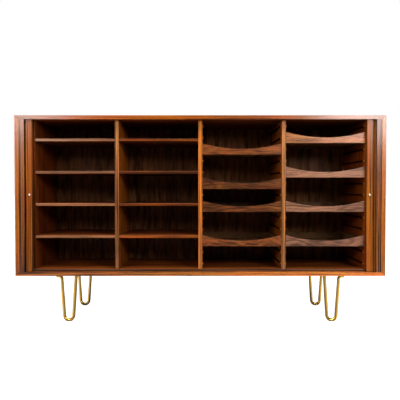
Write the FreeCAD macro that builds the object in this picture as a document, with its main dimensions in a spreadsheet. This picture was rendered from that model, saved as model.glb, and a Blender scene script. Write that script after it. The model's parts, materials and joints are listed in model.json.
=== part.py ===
"""Tambour door cabinet: a mid-century sideboard case with two tambour doors that slide round the
corners into side pockets, eight shelves, eight pull-out trays and four brass hairpin legs.

Millimetres. +Z up, front towards -Y, +X to the right, origin on the floor under the case's centre.
"""

import FreeCAD, Part
import math
import os
import Sketcher

Vector = FreeCAD.Vector

# name, value, what it is
TABLE = (
    ("case_width", 1800.0, "case, outside width"),
    ("case_depth", 450.0, "case, outside depth"),
    ("case_height", 780.0, "case, outside height without the legs"),
    ("leg_height", 240.0, "floor to the underside of the case"),
    ("panel", 19.0, "thickness of the case's top, bottom and sides"),
    ("post_width", 27.0, "corner post, width seen from the front"),
    ("post_thickness", 9.0, "corner post, front to back"),
    ("side_pocket", 52.0, "room for a door between a side and the inner wall"),
    ("rear_pocket", 25.0, "room for the doors between the two backs"),
    ("inner_wall", 18.0, "thickness of the inner walls"),
    ("divider", 19.0, "thickness of the dividers"),
    ("inner_floor", 10.0, "thickness of the loose bottom that the walls and dividers stand on"),
    ("inner_back", 8.0, "thickness of the inner back"),
    ("outer_back", 8.0, "thickness of the outer back"),
    ("inner_setback", 34.0, "case front to the front edges of the dividers"),
    ("slat_setback", 10.5, "case front to the face of the slats"),
    ("slat_to_panel", 1.5, "slats to the side and to the outer back"),
    ("slat_thickness", 11.0, "slat, front to back"),
    ("slat_width", 14.4, "slat, along the track"),
    ("slat_pitch", 15.0, "slat to slat along the canvas"),
    ("slat_count", 58.0, "slats on each door"),
    ("slat_crown", 2.0, "how far a slat's face stands proud of its edges"),
    ("slat_tongue", 5.0, "how far the slats reach into the grooves"),
    ("slat_gap", 0.3, "stile to the first slat's edge"),
    ("canvas", 1.0, "thickness of the canvas backing"),
    ("canvas_margin", 8.0, "canvas to the top and bottom panels"),
    ("canvas_on_stile", 22.0, "how far the canvas is glued on to the stile"),
    ("track_radius", 28.5, "radius of the canvas in the corners of the track"),
    ("groove_depth", 6.0, "depth of the track groove"),
    ("groove_inner_clear", 1.2, "groove, room on the canvas side of the slats"),
    ("groove_outer_clear", 1.0, "groove, room on the face side of the slats"),
    ("stile_width", 31.0, "lead stile of a door"),
    ("stile_clear", 1.0, "stile to the top and bottom panels"),
    ("stile_tongue_width", 16.0, "tongue at each end of a stile"),
    ("stile_tongue_inset", 3.0, "lead edge to the stile's tongue"),
    ("stile_chamfer", 1.5, "chamfer on the stile's front edges"),
    ("left_door_show", 4.5, "corner post to the left stile when open"),
    ("right_door_show", 12.0, "corner post to the right stile when open"),
    ("knob_diameter", 11.0, "door knob"),
    ("knob_neck", 6.0, "door knob's neck, diameter"),
    ("knob_neck_length", 3.5, "door knob's neck, length"),
    ("knob_head_length", 6.0, "door knob's head, length"),
    ("knob_shoulder", 1.4, "length of the cone from the knob's neck to its rim"),
    ("knob_dome", 2.4, "height of the knob's domed end"),
    ("knob_bevel", 1.6, "height of the steep cone at the edge of the domed end"),
    ("knob_bevel_width", 1.8, "width of that cone, seen from the front"),
    ("knob_spigot", 6.0, "knob's spigot in the stile, length"),
    ("knob_fit", 0.1, "clearance round the knob's spigot"),
    ("knob_inset", 12.0, "lead edge to the middle of the knob"),
    ("knob_rise", 5.0, "knob above the middle of the case"),
    ("shelf", 13.0, "thickness of a shelf"),
    ("shelf_setback", 1.0, "divider's front to the shelf's front"),
    ("shelf_end_clear", 0.5, "shelf to the walls"),
    ("shelf_rear_clear", 3.0, "shelf to the inner back"),
    ("shelf_first", 163.0, "floor of the case to the underside of the lowest shelf"),
    ("shelf_last", 103.5, "underside of the highest shelf to the ceiling of the case"),
    ("shelf_count", 4.0, "shelves in each shelf bay"),
    ("clip", 1.6, "thickness of a shelf clip's sheet brass"),
    ("clip_width", 14.0, "shelf clip, front to back"),
    ("clip_drop", 12.0, "shelf clip's leaf on the wall"),
    ("clip_reach", 9.0, "shelf clip's leaf under the shelf"),
    ("clip_inset", 38.0, "clip to the front or back edge of the shelf"),
    ("runner_height", 8.0, "tray runner strip"),
    ("runner_reach", 6.0, "tray runner strip, out of the wall"),
    ("runner_first", 35.7, "floor of the case to the middle of the lowest runner"),
    ("runner_last", 28.3, "middle of the highest runner to the ceiling of the case"),
    ("runner_count", 13.0, "runners on each wall of a tray bay"),
    ("runner_clear", 0.3, "tray groove round its runner"),
    ("tray_clear", 1.0, "tray to the walls"),
    ("tray_setback", 3.0, "divider's front to the tray's front"),
    ("tray_rear_clear", 10.0, "tray to the inner back"),
    ("tray_height", 53.0, "tray front at its ends"),
    ("tray_dip", 26.5, "how far the tray front's top edge dips"),
    ("tray_land", 6.0, "straight ends of the tray front's top edge"),
    ("tray_front", 12.0, "thickness of a tray front"),
    ("tray_side", 10.0, "thickness of a tray's sides and back"),
    ("tray_side_height", 41.0, "height of a tray's sides and back"),
    ("tray_bottom", 5.0, "thickness of a tray's bottom"),
    ("tray_bottom_rise", 4.0, "tray's lower edge to its bottom board"),
    ("leg_inset_side", 243.0, "case end to the middle of a leg"),
    ("leg_inset_front", 70.0, "case front to the front legs"),
    ("leg_inset_rear", 30.0, "case back to the rear legs"),
    ("rod", 16.0, "diameter of the legs' rod"),
    ("leg_top_spread", 72.0, "distance between a leg's rods at the top"),
    ("leg_foot_radius", 23.0, "bend at the foot, on the rod's centre line"),
    ("flare_radius", 14.0, "bend at the top of the outer rod, on the centre line"),
    ("flare_reach", 26.0, "how far the outer rod runs out under its plate"),
    ("plate", 4.0, "thickness of a leg plate"),
    ("plate_width", 42.0, "leg plate, front to back"),
    ("plate_overhang", 16.0, "leg plate past the rods at each end"),
    ("rod_flats", 16.0, "flats round the rod, which stand for its round section"),
    ("foot_bends", 11.0, "straight steps in the bend at the foot"),
    ("flare_bends", 5.0, "straight steps in the bend at the top"),
    ("cut_overrun", 1.0, "how far every cut runs past the surface that it opens"),
)

# the runner, counted from the lowest, that carries each tray, bottom tray first
TRAY_RUNNERS = {3: (2, 5, 7, 10), 4: (2, 5, 8, 11)}
SHELF_BAYS = (1, 2)
TRAY_BAYS = (3, 4)
BAY_COUNT = 4


class Term:
    """A length that keeps its number and the expression that a property is bound to."""

    def __init__(self, text, value):
        self.text = text
        self.value = value

    def join(self, sign, other, value):
        return Term(f"({self.text} {sign} {term(other).text})", value)

    def __add__(self, other):
        return self.join("+", other, self.value + term(other).value)

    def __sub__(self, other):
        return self.join("-", other, self.value - term(other).value)

    def __mul__(self, other):
        return self.join("*", other, self.value * term(other).value)

    def __truediv__(self, other):
        return self.join("/", other, self.value / term(other).value)

    def __neg__(self):
        return Term(f"(-1 * {self.text})", -self.value)


def term(number):
    """A plain number, such as a count or a share, as a Term."""
    return number if isinstance(number, Term) else Term(str(number), float(number))


class Sizes:
    """The spreadsheet: size.case_width is the cell with that alias."""

    def __init__(self, doc):
        self.sheet = doc.addObject("Spreadsheet::Sheet", "Sizes")
        self.values = {}
        for row, (alias, value, meaning) in enumerate(TABLE, start=1):
            self.sheet.set(f"A{row}", meaning)
            self.sheet.set(f"B{row}", str(value))
            self.sheet.setAlias(f"B{row}", alias)
            self.values[alias] = value
        doc.recompute()

    def __getattr__(self, alias):
        return Term(f"Sizes.{alias}", self.values[alias])


doc = FreeCAD.newDocument("tambour_door_cabinet")
size = Sizes(doc)
parts = {}

# planes that many pieces share
front = -size.case_depth / 2
rear = size.case_depth / 2
end = size.case_width / 2
case_low = size.leg_height
case_high = size.leg_height + size.case_height
floor = case_low + size.panel
inner_floor_top = floor + size.inner_floor
ceiling = case_high - size.panel
side_face = end - size.panel
outer_back_face = rear - size.outer_back
inner_back_rear = outer_back_face - size.rear_pocket
inner_back_face = inner_back_rear - size.inner_back
wall_outer = side_face - size.side_pocket
wall_inner = wall_outer - size.inner_wall
inner_front = front + size.inner_setback
bay_width = (wall_inner * 2 - size.divider * (BAY_COUNT - 1)) / BAY_COUNT
shelf_pitch = (ceiling - floor - size.shelf_first - size.shelf_last) / (size.shelf_count - 1)
runner_pitch = (ceiling - floor - size.runner_first - size.runner_last) / (size.runner_count - 1)
post_edge = side_face - size.post_width
# the canvas line that the doors follow: it runs behind the slats, so it is the inner side of each bend
slat_face = front + size.slat_setback
canvas_front = slat_face + size.slat_thickness
canvas_side = side_face - size.slat_to_panel - size.slat_thickness
canvas_rear = outer_back_face - size.slat_to_panel - size.slat_thickness
bend_start_x = canvas_side - size.track_radius
bend_start_front = canvas_front + size.track_radius
bend_start_rear = canvas_rear - size.track_radius
LEFT, RIGHT = -1, 1


def bay_left(bay):
    """X of the left wall's face in a bay, counted from 1 at the left."""
    return (bay_width + size.divider) * (bay - 1) - wall_inner


def bind(thing, name, length):
    thing.setExpression(name, term(length).text)


def origin_feature(body, role):
    return next(item for item in body.Origin.OriginFeatures if item.Role == role)


def new_body(name):
    body = doc.addObject("PartDesign::Body", name)
    body.AllowCompound = True
    return body


def attach(sketch, body, plane, offset):
    """Puts a sketch on one of the body's own planes; XZ's normal points to the front, so it is turned."""
    sketch.AttachmentSupport = [(origin_feature(body, plane + "_Plane"), "")]
    sketch.MapMode = "FlatFace"
    bind(sketch, "AttachmentOffset.Base.z", -offset if plane == "XZ" else offset)


def at(point):
    return Vector(term(point[0]).value, term(point[1]).value, 0)


def hold(sketch, kind, where, length):
    """One driving dimension of a sketch, bound to the sizes."""
    index = sketch.addConstraint(Sketcher.Constraint(kind, *where, term(length).value))
    bind(sketch, f"Constraints[{index}]", length)


def draw(sketch, corners, arcs):
    """A closed outline through the corners; arcs gives, by edge number, (a point on it, its radius)."""
    ends = []
    for number, start in enumerate(corners):
        stop = corners[(number + 1) % len(corners)]
        if number in arcs:
            edge = Part.Arc(at(start), at(arcs[number][0]), at(stop))
        else:
            edge = Part.LineSegment(at(start), at(stop))
        item = sketch.addGeometry(edge, False)
        forward = sketch.getPoint(item, 1).distanceToPoint(at(start)) < edge.length() / 2
        forward = forward and sketch.getPoint(item, 2).distanceToPoint(at(stop)) < edge.length() / 2
        ends.append((item, 1, 2) if forward else (item, 2, 1))
    for number, (item, first, last) in enumerate(ends):
        after, after_first, _ = ends[(number + 1) % len(ends)]
        sketch.addConstraint(Sketcher.Constraint("Coincident", item, last, after, after_first))
        hold(sketch, "DistanceX", (item, first), corners[number][0])
        hold(sketch, "DistanceY", (item, first), corners[number][1])
        if number in arcs:
            hold(sketch, "Radius", (item,), arcs[number][1])


def draw_circles(sketch, centres, diameter):
    for centre in centres:
        circle = Part.Circle(at(centre), Vector(0, 0, 1), term(diameter).value / 2)
        item = sketch.addGeometry(circle, False)
        hold(sketch, "DistanceX", (item, 3), centre[0])
        hold(sketch, "DistanceY", (item, 3), centre[1])
        hold(sketch, "Diameter", (item,), diameter)


def rectangle(low, high):
    return [low, (high[0], low[1]), high, (low[0], high[1])]


def rounded(low, high, radius):
    """Corners and arcs of a rectangle with one radius at its four corners."""
    (left, bottom), (right, top) = low, high
    corners = [
        (left + radius, bottom), (right - radius, bottom), (right, bottom + radius), (right, top - radius),
        (right - radius, top), (left + radius, top), (left, top - radius), (left, bottom + radius),
    ]
    reach = radius * (1 - math.sqrt(0.5))
    middles = [(right - reach, bottom + reach), (right - reach, top - reach)]
    middles += [(left + reach, top - reach), (left + reach, bottom + reach)]
    arcs = {2 * turn + 1: (middle, radius) for turn, middle in enumerate(middles)}
    return corners, arcs


def pad(body, name, plane, corners, low, high, arcs=None):
    """Adds an outline drawn across the plane from low to high along its axis."""
    sketch = body.newObject("Sketcher::SketchObject", name + "_outline")
    attach(sketch, body, plane, high if plane == "XZ" else low)
    draw(sketch, corners, arcs or {})
    feature = body.newObject("PartDesign::Pad", name)
    feature.Profile = sketch
    bind(feature, "Length", high - low)
    return feature


def pocket(body, name, plane, low, high, outlines=(), circles=(), diameter=None):
    """Cuts outlines or round holes from low to high along the plane's axis, and tests that it cut."""
    before = body.Tip
    doc.recompute()
    sketch = body.newObject("Sketcher::SketchObject", name + "_outline")
    attach(sketch, body, plane, low if plane == "XZ" else high)
    for corners, arcs in outlines:
        draw(sketch, corners, arcs)
    draw_circles(sketch, circles, diameter)
    feature = body.newObject("PartDesign::Pocket", name)
    feature.Profile = sketch
    bind(feature, "Length", high - low)
    doc.recompute()
    if not feature.Shape.Volume < before.Shape.Volume:
        raise RuntimeError(f"{name} cut nothing")


def board(name, low, high):
    """A plain board between two opposite corners."""
    box = doc.addObject("Part::Box", name)
    for prop, index in (("Length", 0), ("Width", 1), ("Height", 2)):
        bind(box, prop, high[index] - low[index])
    for axis, corner in zip("xyz", low):
        bind(box, f"Placement.Base.{axis}", corner)
    return box


def place(body, point):
    for axis, length in zip("xyz", point):
        bind(body, f"Placement.Base.{axis}", length)


def keep(name, piece):
    """Names a finished sub-part."""
    piece.Label = name
    parts[name] = piece
    return piece


def group(name, pieces):
    """Several separate solids that share one sub-part."""
    compound = doc.addObject("Part::Compound", name)
    compound.Links = pieces
    return keep(name, compound)


def leg_places():
    """(X, Y, side) of each leg's middle."""
    rows = (front + size.leg_inset_front, rear - size.leg_inset_rear)
    reach = end - size.leg_inset_side
    return [(reach * side, row, side) for row in rows for side in (LEFT, RIGHT)]


def track_outlines():
    """The groove that both doors run in: the ring between two rounded rectangles."""
    outer = size.slat_thickness + size.groove_outer_clear
    inner = -size.groove_inner_clear
    rings = []
    for grow in (outer, inner):
        low = (-canvas_side - grow, canvas_front - grow)
        high = (canvas_side + grow, canvas_rear + grow)
        rings.append(rounded(low, high, size.track_radius + grow))
    return rings


def case_panels():
    """Top, bottom and sides, mitred where they meet, with the doors' track in the top and bottom."""
    top = new_body("case_top")
    outline = [(-side_face, ceiling), (side_face, ceiling), (end, case_high), (-end, case_high)]
    pad(top, "top_board", "XZ", outline, front, rear)
    pocket(top, "top_track", "XY", ceiling - size.cut_overrun, ceiling + size.groove_depth, track_outlines())
    keep("case_top", top)
    bottom = new_body("case_bottom")
    outline = [(-end, case_low), (end, case_low), (side_face, floor), (-side_face, floor)]
    pad(bottom, "bottom_board", "XZ", outline, front, rear)
    pocket(bottom, "bottom_track", "XY", floor - size.groove_depth, floor + size.cut_overrun, track_outlines())
    keep("case_bottom", bottom)
    for name, side in (("left", LEFT), ("right", RIGHT)):
        body = new_body(f"case_side_{name}")
        outline = [(end * side, case_low), (side_face * side, floor)]
        outline += [(side_face * side, ceiling), (end * side, case_high)]
        pad(body, f"side_{name}_board", "XZ", outline, front, rear)
        keep(f"case_side_{name}", body)


def corner_posts():
    """The strips beside each opening that hide the corner of the track."""
    for name, side in (("left", LEFT), ("right", RIGHT)):
        low, high = sorted((post_edge * side, side_face * side), key=lambda length: length.value)
        piece = board(f"corner_post_{name}", (low, front, floor), (high, front + size.post_thickness, ceiling))
        keep(f"corner_post_{name}", piece)


def inner_floor():
    """The loose bottom that the walls and dividers stand on, level with their front edges."""
    low = (-wall_outer, inner_front, floor)
    keep("inner_floor", board("inner_floor", low, (wall_outer, inner_back_face, inner_floor_top)))


def upright(name, low, high):
    """A wall or divider between the inner floor and the ceiling."""
    keep(name, board(name, (low, inner_front, inner_floor_top), (high, inner_back_face, ceiling)))


def uprights():
    """Inner walls and dividers."""
    upright("inner_wall_left", -wall_outer, -wall_inner)
    upright("inner_wall_right", wall_inner, wall_outer)
    for number in range(1, BAY_COUNT):
        low = bay_left(number) + bay_width
        upright(f"divider_{number}", low, low + size.divider)


def backs():
    """The inner back that the shelves face and the outer back that closes the case."""
    keep("inner_back", board("inner_back", (-wall_outer, inner_back_face, floor),
                             (wall_outer, inner_back_rear, ceiling)))
    keep("outer_back", board("outer_back", (-side_face, outer_back_face, floor), (side_face, rear, ceiling)))


def shelves():
    """Loose shelves, each on four clips."""
    for bay in SHELF_BAYS:
        left = bay_left(bay) + size.shelf_end_clear
        right = bay_left(bay) + bay_width - size.shelf_end_clear
        for number in range(int(size.shelf_count.value)):
            under = floor + size.shelf_first + shelf_pitch * number
            low = (left, inner_front + size.shelf_setback, under)
            high = (right, inner_back_face - size.shelf_rear_clear, under + size.shelf)
            name = f"shelf_{bay}_{number + 1}"
            keep(name, board(name, low, high))


def clip(wall, inward, row, under):
    """A brass angle: one leaf down the wall, one leaf under the shelf; inward is away from the wall."""
    body = new_body("shelf_clip")
    outline = [(wall, under), (wall, under - size.clip_drop), (wall + size.clip * inward, under - size.clip_drop),
               (wall + size.clip * inward, under - size.clip), (wall + size.clip_reach * inward, under - size.clip),
               (wall + size.clip_reach * inward, under)]
    half = size.clip_width / 2
    pad(body, "clip_leaves", "XZ", outline, row - half, row + half)
    return body


def shelf_clips():
    """Four clips under each shelf."""
    clips = []
    rows = (inner_front + size.shelf_setback + size.clip_inset,
            inner_back_face - size.shelf_rear_clear - size.clip_inset)
    for bay in SHELF_BAYS:
        for number in range(int(size.shelf_count.value)):
            under = floor + size.shelf_first + shelf_pitch * number
            for row in rows:
                clips.append(clip(bay_left(bay), RIGHT, row, under))
                clips.append(clip(bay_left(bay) + bay_width, LEFT, row, under))
    group("shelf_clips", clips)


def runner_height(number):
    """Z of the middle of a runner, counted from 0 at the bottom."""
    return floor + size.runner_first + runner_pitch * number


def runners():
    """Strips on both walls of each tray bay, one pitch apart, that the trays' side grooves run on."""
    start = inner_front + size.tray_setback + size.tray_front + size.runner_clear
    half = size.runner_height / 2
    for bay in TRAY_BAYS:
        left = bay_left(bay)
        right = left + bay_width
        spans = {"left": (left, left + size.runner_reach), "right": (right - size.runner_reach, right)}
        for name, (low, high) in spans.items():
            body = new_body(f"runners_{bay}_{name}")
            outline = rectangle((low, runner_height(0) - half), (high, runner_height(0) + half))
            first = pad(body, f"runner_{bay}_{name}", "XZ", outline, start, inner_back_face)
            pattern = body.newObject("PartDesign::LinearPattern", f"runner_row_{bay}_{name}")
            pattern.Originals = [first]
            pattern.Direction = (origin_feature(body, "Z_Axis"), [""])
            bind(pattern, "Length", runner_pitch * (size.runner_count - 1))
            bind(pattern, "Occurrences", size.runner_count)
            body.Tip = pattern
            keep(f"runners_{bay}_{name}", body)


def dip_radius(half_span, dip):
    """Radius of the arc through two ends half_span either side of a middle that lies dip lower."""
    return (half_span * half_span + dip * dip) / (dip * 2)


def tray(bay, number, runner):
    """One pull-out tray: a front with a dipped top edge, grooved sides, a back and a bottom."""
    name = f"{bay}_{number}"
    left = bay_left(bay) + size.tray_clear
    right = bay_left(bay) + bay_width - size.tray_clear
    middle = (left + right) / 2
    low = runner_height(runner) - size.tray_height / 2
    high = low + size.tray_height
    face = inner_front + size.tray_setback
    inside = face + size.tray_front
    back = inner_back_face - size.tray_rear_clear
    body = new_body(f"tray_front_{name}")
    outline = [(left, low), (right, low), (right, high), (right - size.tray_land, high),
               (left + size.tray_land, high), (left, high)]
    half_span = (right - left) / 2 - size.tray_land
    arc = ((middle, high - size.tray_dip), dip_radius(half_span, size.tray_dip))
    pad(body, f"tray_front_board_{name}", "XZ", outline, face, inside, {3: arc})
    keep(f"tray_front_{name}", body)
    top = low + size.tray_side_height
    groove = size.runner_height / 2 + size.runner_clear
    depth = size.runner_reach - size.tray_clear + size.runner_clear
    pieces = []
    for hand, wall, inward in (("left", left, RIGHT), ("right", right, LEFT)):
        side = new_body(f"tray_side_{hand}_{name}")
        slot = wall + depth * inward
        face_in = wall + size.tray_side * inward
        outline = [(wall, low), (face_in, low), (face_in, top), (wall, top)]
        outline += [(wall, runner_height(runner) + groove), (slot, runner_height(runner) + groove)]
        outline += [(slot, runner_height(runner) - groove), (wall, runner_height(runner) - groove)]
        pad(side, f"tray_side_board_{hand}_{name}", "XZ", outline, inside, back)
        pieces.append(side)
    inner_left = left + size.tray_side
    inner_right = right - size.tray_side
    pieces.append(board(f"tray_back_{name}", (inner_left, back - size.tray_side, low), (inner_right, back, top)))
    under = low + size.tray_bottom_rise
    pieces.append(board(f"tray_bottom_{name}", (inner_left, inside, under),
                        (inner_right, back - size.tray_side, under + size.tray_bottom)))
    group(f"tray_box_{name}", pieces)


def trays():
    for bay, numbers in TRAY_RUNNERS.items():
        for number, runner in enumerate(numbers, start=1):
            tray(bay, number, runner)


def door_show(side):
    return size.left_door_show if side == LEFT else size.right_door_show


def stile(name, side):
    """The stiff leading board of a door, with a tongue at each end that runs in the track."""
    outer = post_edge - door_show(side)
    lead = outer - size.stile_width
    body = new_body(f"lead_stile_{name}")
    cut = size.stile_chamfer
    outline = [(lead * side, canvas_front), (lead * side, slat_face + cut), ((lead + cut) * side, slat_face),
               ((outer - cut) * side, slat_face), (outer * side, slat_face + cut), (outer * side, canvas_front)]
    pad(body, f"stile_{name}_board", "XY", outline, floor + size.stile_clear, ceiling - size.stile_clear)
    inset = lead + size.stile_tongue_inset
    tongue = rectangle((inset * side, slat_face + cut), ((inset + size.stile_tongue_width) * side, canvas_front))
    pad(body, f"stile_{name}_tongues", "XY", tongue, floor - size.slat_tongue, ceiling + size.slat_tongue)
    knob_x = (lead + size.knob_inset) * side
    hole = size.knob_neck + size.knob_fit * 2
    depth = size.knob_spigot + size.knob_fit
    pocket(body, f"stile_{name}_knob_hole", "XZ", slat_face - size.cut_overrun, slat_face + depth,
           circles=[(knob_x, knob_height())], diameter=hole)
    keep(f"lead_stile_{name}", body)


def knob_height():
    return (floor + ceiling) / 2 + size.knob_rise


def knob(name, side):
    """A small turned knob: a spigot in the stile, a neck and a head with a bevelled dome."""
    lead = post_edge - door_show(side) - size.stile_width
    neck = size.knob_neck / 2
    head = size.knob_diameter / 2
    root = size.knob_neck_length
    tip = size.knob_neck_length + size.knob_head_length
    axis = term(0)
    # Y of the outline is measured from the stile's face, towards the front as negative
    outline = [(size.knob_spigot, axis), (size.knob_spigot, neck), (-root, neck), (-root - size.knob_shoulder, head),
               (-tip + size.knob_dome, head), (-tip + size.knob_dome - size.knob_bevel, head - size.knob_bevel_width),
               (-tip, axis)]
    body = new_body(f"door_knob_{name}")
    sketch = body.newObject("Sketcher::SketchObject", f"knob_{name}_outline")
    attach(sketch, body, "YZ", axis)
    draw(sketch, outline, {})
    turned = body.newObject("PartDesign::Revolution", f"knob_{name}_turned")
    turned.Profile = sketch
    turned.ReferenceAxis = (origin_feature(body, "Y_Axis"), [""])
    turned.Angle = 360
    place(body, ((lead + size.knob_inset) * side, slat_face, knob_height()))
    keep(f"door_knob_{name}", body)


def canvas_point(distance, side):
    """(X, Y, turn in radians) on the canvas line, distance measured from the middle of the front."""
    radius = size.track_radius.value
    quarter = radius * math.pi / 2
    straight = bend_start_x.value
    depth = bend_start_rear.value - bend_start_front.value
    if distance <= straight:
        return distance * side, canvas_front.value, 0
    distance -= straight
    if distance <= quarter:
        turn = distance / radius
        return ((straight + radius * math.sin(turn)) * side,
                bend_start_front.value - radius * math.cos(turn), turn)
    distance -= quarter
    if distance <= depth:
        return canvas_side.value * side, bend_start_front.value + distance, math.pi / 2
    distance -= depth
    if distance <= quarter:
        turn = math.pi / 2 + distance / radius
        return ((straight + radius * math.sin(turn)) * side,
                bend_start_rear.value - radius * math.cos(turn), turn)
    distance -= quarter
    return (straight - distance) * side, canvas_rear.value, math.pi


def slat_shape():
    """One slat, its back's middle at the origin, its crowned face towards -Y."""
    half = size.slat_width.value / 2
    edge = -(size.slat_thickness.value - size.slat_crown.value)
    crest = -size.slat_thickness.value
    low = floor.value - size.slat_tongue.value
    height = ceiling.value + size.slat_tongue.value - low
    outline = [
        Part.LineSegment(Vector(-half, edge, low), Vector(-half, 0, low)),
        Part.LineSegment(Vector(-half, 0, low), Vector(half, 0, low)),
        Part.LineSegment(Vector(half, 0, low), Vector(half, edge, low)),
        Part.Arc(Vector(half, edge, low), Vector(0, crest, low), Vector(-half, edge, low)),
    ]
    face = Part.Face(Part.Wire([line.toShape() for line in outline]))
    return face.extrude(Vector(0, 0, height))


def door_slats(name, side):
    """The slats of an open door, one after another along the track."""
    stile_end = (post_edge - door_show(side)).value
    pitch = size.slat_pitch.value
    first = stile_end + size.slat_gap.value + pitch / 2
    slats = []
    for number in range(int(size.slat_count.value)):
        x, y, turn = canvas_point(first + pitch * number, side)
        slat = slat_shape()
        slat.rotate(Vector(0, 0, 0), Vector(0, 0, 1), math.degrees(turn) * side)
        slat.translate(Vector(x, y, 0))
        slats.append(slat)
    feature = doc.addObject("Part::Feature", f"door_slats_{name}")
    feature.Shape = Part.Compound(slats)
    keep(f"door_slats_{name}", feature)


def canvas_side_line(offset, start, side):
    """The canvas line moved inwards by offset, from the stile to the last slat, as edges."""
    radius = size.track_radius.value - offset
    middle_x = bend_start_x.value * side
    diagonal = radius * math.sqrt(0.5)
    bend_front = Vector(middle_x, bend_start_front.value, 0)
    bend_rear = Vector(middle_x, bend_start_rear.value, 0)
    stop = canvas_stop(side)
    places = [
        Vector(start * side, bend_front.y - radius, 0),
        bend_front + Vector(0, -radius, 0),
        bend_front + Vector(radius * side, 0, 0),
        bend_rear + Vector(radius * side, 0, 0),
        bend_rear + Vector(0, radius, 0),
        Vector(stop * side, bend_rear.y + radius, 0),
    ]
    middles = {1: bend_front + Vector(diagonal * side, -diagonal, 0),
               3: bend_rear + Vector(diagonal * side, diagonal, 0)}
    edges = []
    for number in range(len(places) - 1):
        if number in middles:
            edges.append(Part.Arc(places[number], middles[number], places[number + 1]).toShape())
        else:
            edges.append(Part.LineSegment(places[number], places[number + 1]).toShape())
    return edges, places[0], places[-1]


def canvas_stop(side):
    """Distance from the middle of the case at which the canvas ends behind the inner back."""
    stile_end = (post_edge - door_show(side)).value
    length = stile_end + size.slat_gap.value + size.slat_pitch.value * size.slat_count.value
    radius = size.track_radius.value
    depth = bend_start_rear.value - bend_start_front.value
    along_back = length - bend_start_x.value - radius * math.pi - depth
    return bend_start_x.value - along_back


def door_canvas(name, side):
    """The canvas that holds the slats together, glued to their backs and to the stile's."""
    start = (post_edge - door_show(side) - size.canvas_on_stile).value
    outer, outer_start, outer_stop = canvas_side_line(0, start, side)
    inner, inner_start, inner_stop = canvas_side_line(size.canvas.value, start, side)
    closing = [Part.LineSegment(outer_stop, inner_stop).toShape(),
               Part.LineSegment(inner_start, outer_start).toShape()]
    face = Part.Face(Part.Wire(Part.sortEdges(outer + inner + closing)[0]))
    low = (floor + size.canvas_margin).value
    high = (ceiling - size.canvas_margin).value
    solid = face.extrude(Vector(0, 0, high - low))
    solid.translate(Vector(0, 0, low))
    feature = doc.addObject("Part::Feature", f"door_canvas_{name}")
    feature.Shape = solid
    keep(f"door_canvas_{name}", feature)


def doors():
    for name, side in (("left", LEFT), ("right", RIGHT)):
        stile(name, side)
        knob(name, side)
        door_slats(name, side)
        door_canvas(name, side)


def bend_points(centre, radius, first, last, steps):
    """Corners of straight steps round a bend, tangent to it; angles in radians in XZ."""
    step = (last - first) / steps
    reach = radius / math.cos(step / 2)
    middles = [first + step * (number + 0.5) for number in range(-1, steps + 1)]
    corners = [(a + b) / 2 for a, b in zip(middles, middles[1:])]
    return [centre + Vector(math.cos(angle), 0, math.sin(angle)) * reach for angle in corners]


def leg_line():
    """Corners of a leg's centre line in XZ, for a right-hand leg with its middle at X = 0."""
    top = size.leg_height.value - size.plate.value
    rod = size.rod.value / 2
    spread = size.leg_top_spread.value / 2
    foot = size.leg_foot_radius.value
    flare = size.flare_radius.value
    run = top - rod
    centre = Vector(0, 0, rod + foot)
    # the rods lean outwards and are tangent to the bend at the foot
    rise = run - centre.z
    lean = math.atan2(spread, rise) - math.asin(foot / math.hypot(spread, rise))
    foot_bend = bend_points(centre, foot, math.pi + lean, 2 * math.pi - lean, int(size.foot_bends.value))
    leave = centre + Vector(math.cos(lean), 0, -math.sin(lean)) * foot
    up = Vector(math.sin(lean), 0, math.cos(lean))
    corner = leave + up * ((run - leave.z) / up.z)
    cut = flare * math.tan((math.pi / 2 - lean) / 2)
    flare_centre = corner + Vector(cut, 0, -flare)
    flare_bend = bend_points(flare_centre, flare, math.pi - lean, math.pi / 2, int(size.flare_bends.value))
    finish = Vector(spread + size.flare_reach.value, 0, run)
    inner_top = Vector(-leave.x, 0, leave.z) + Vector(-up.x, 0, up.z) * ((top + rod - leave.z) / up.z)
    return [inner_top] + foot_bend[1:-1] + flare_bend[1:-1] + [finish]


def rod_section(start, along):
    """The rod's section square to its line, as flats tangent to its round."""
    flats = int(size.rod_flats.value)
    reach = size.rod.value / 2 / math.cos(math.pi / flats)
    across = Vector(0, 1, 0)
    upward = along.cross(across)
    turns = [2 * math.pi * (number + 0.5) / flats for number in range(flats)]
    corners = [start + across * math.cos(turn) * reach + upward * math.sin(turn) * reach for turn in turns]
    return Part.makePolygon(corners + corners[:1])


def legs():
    """Bent brass rods: up from a round foot, the outer side flaring out flat under its plate."""
    names = ("leg_front_left", "leg_front_right", "leg_rear_left", "leg_rear_right")
    line = leg_line()
    section = rod_section(line[0], (line[1] - line[0]).normalize())
    square_corners = 1
    rod = Part.makePolygon(line).makePipeShell([section], True, False, square_corners)
    top = size.leg_height.value - size.plate.value
    reach = size.leg_top_spread.value + size.flare_reach.value
    above = Part.makeBox(2 * reach, 2 * reach, reach, Vector(-reach, -reach, top))
    trimmed = rod.cut(above)
    for name, (x, y, side) in zip(names, leg_places()):
        feature = doc.addObject("Part::Feature", name)
        feature.Shape = trimmed.Solids[0]
        feature.Placement.Rotation = FreeCAD.Rotation(Vector(0, 0, 1), 90 - 90 * side)
        place(feature, (x, y, term(0)))
        keep(name, feature)


def leg_plates():
    """Steel plates under the case that the rods are welded to."""
    plates = []
    inner = size.leg_top_spread / 2 + size.plate_overhang
    outer = inner + size.flare_reach
    half = size.plate_width / 2
    for x, y, side in leg_places():
        low = (x - (inner if side == RIGHT else outer), y - half, case_low - size.plate)
        high = (x + (outer if side == RIGHT else inner), y + half, case_low)
        plates.append(board("leg_plate", low, high))
    group("leg_plates", plates)


def build():
    case_panels()
    corner_posts()
    inner_floor()
    uprights()
    backs()
    shelves()
    shelf_clips()
    runners()
    trays()
    doors()
    legs()
    leg_plates()
    doc.recompute()


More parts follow.
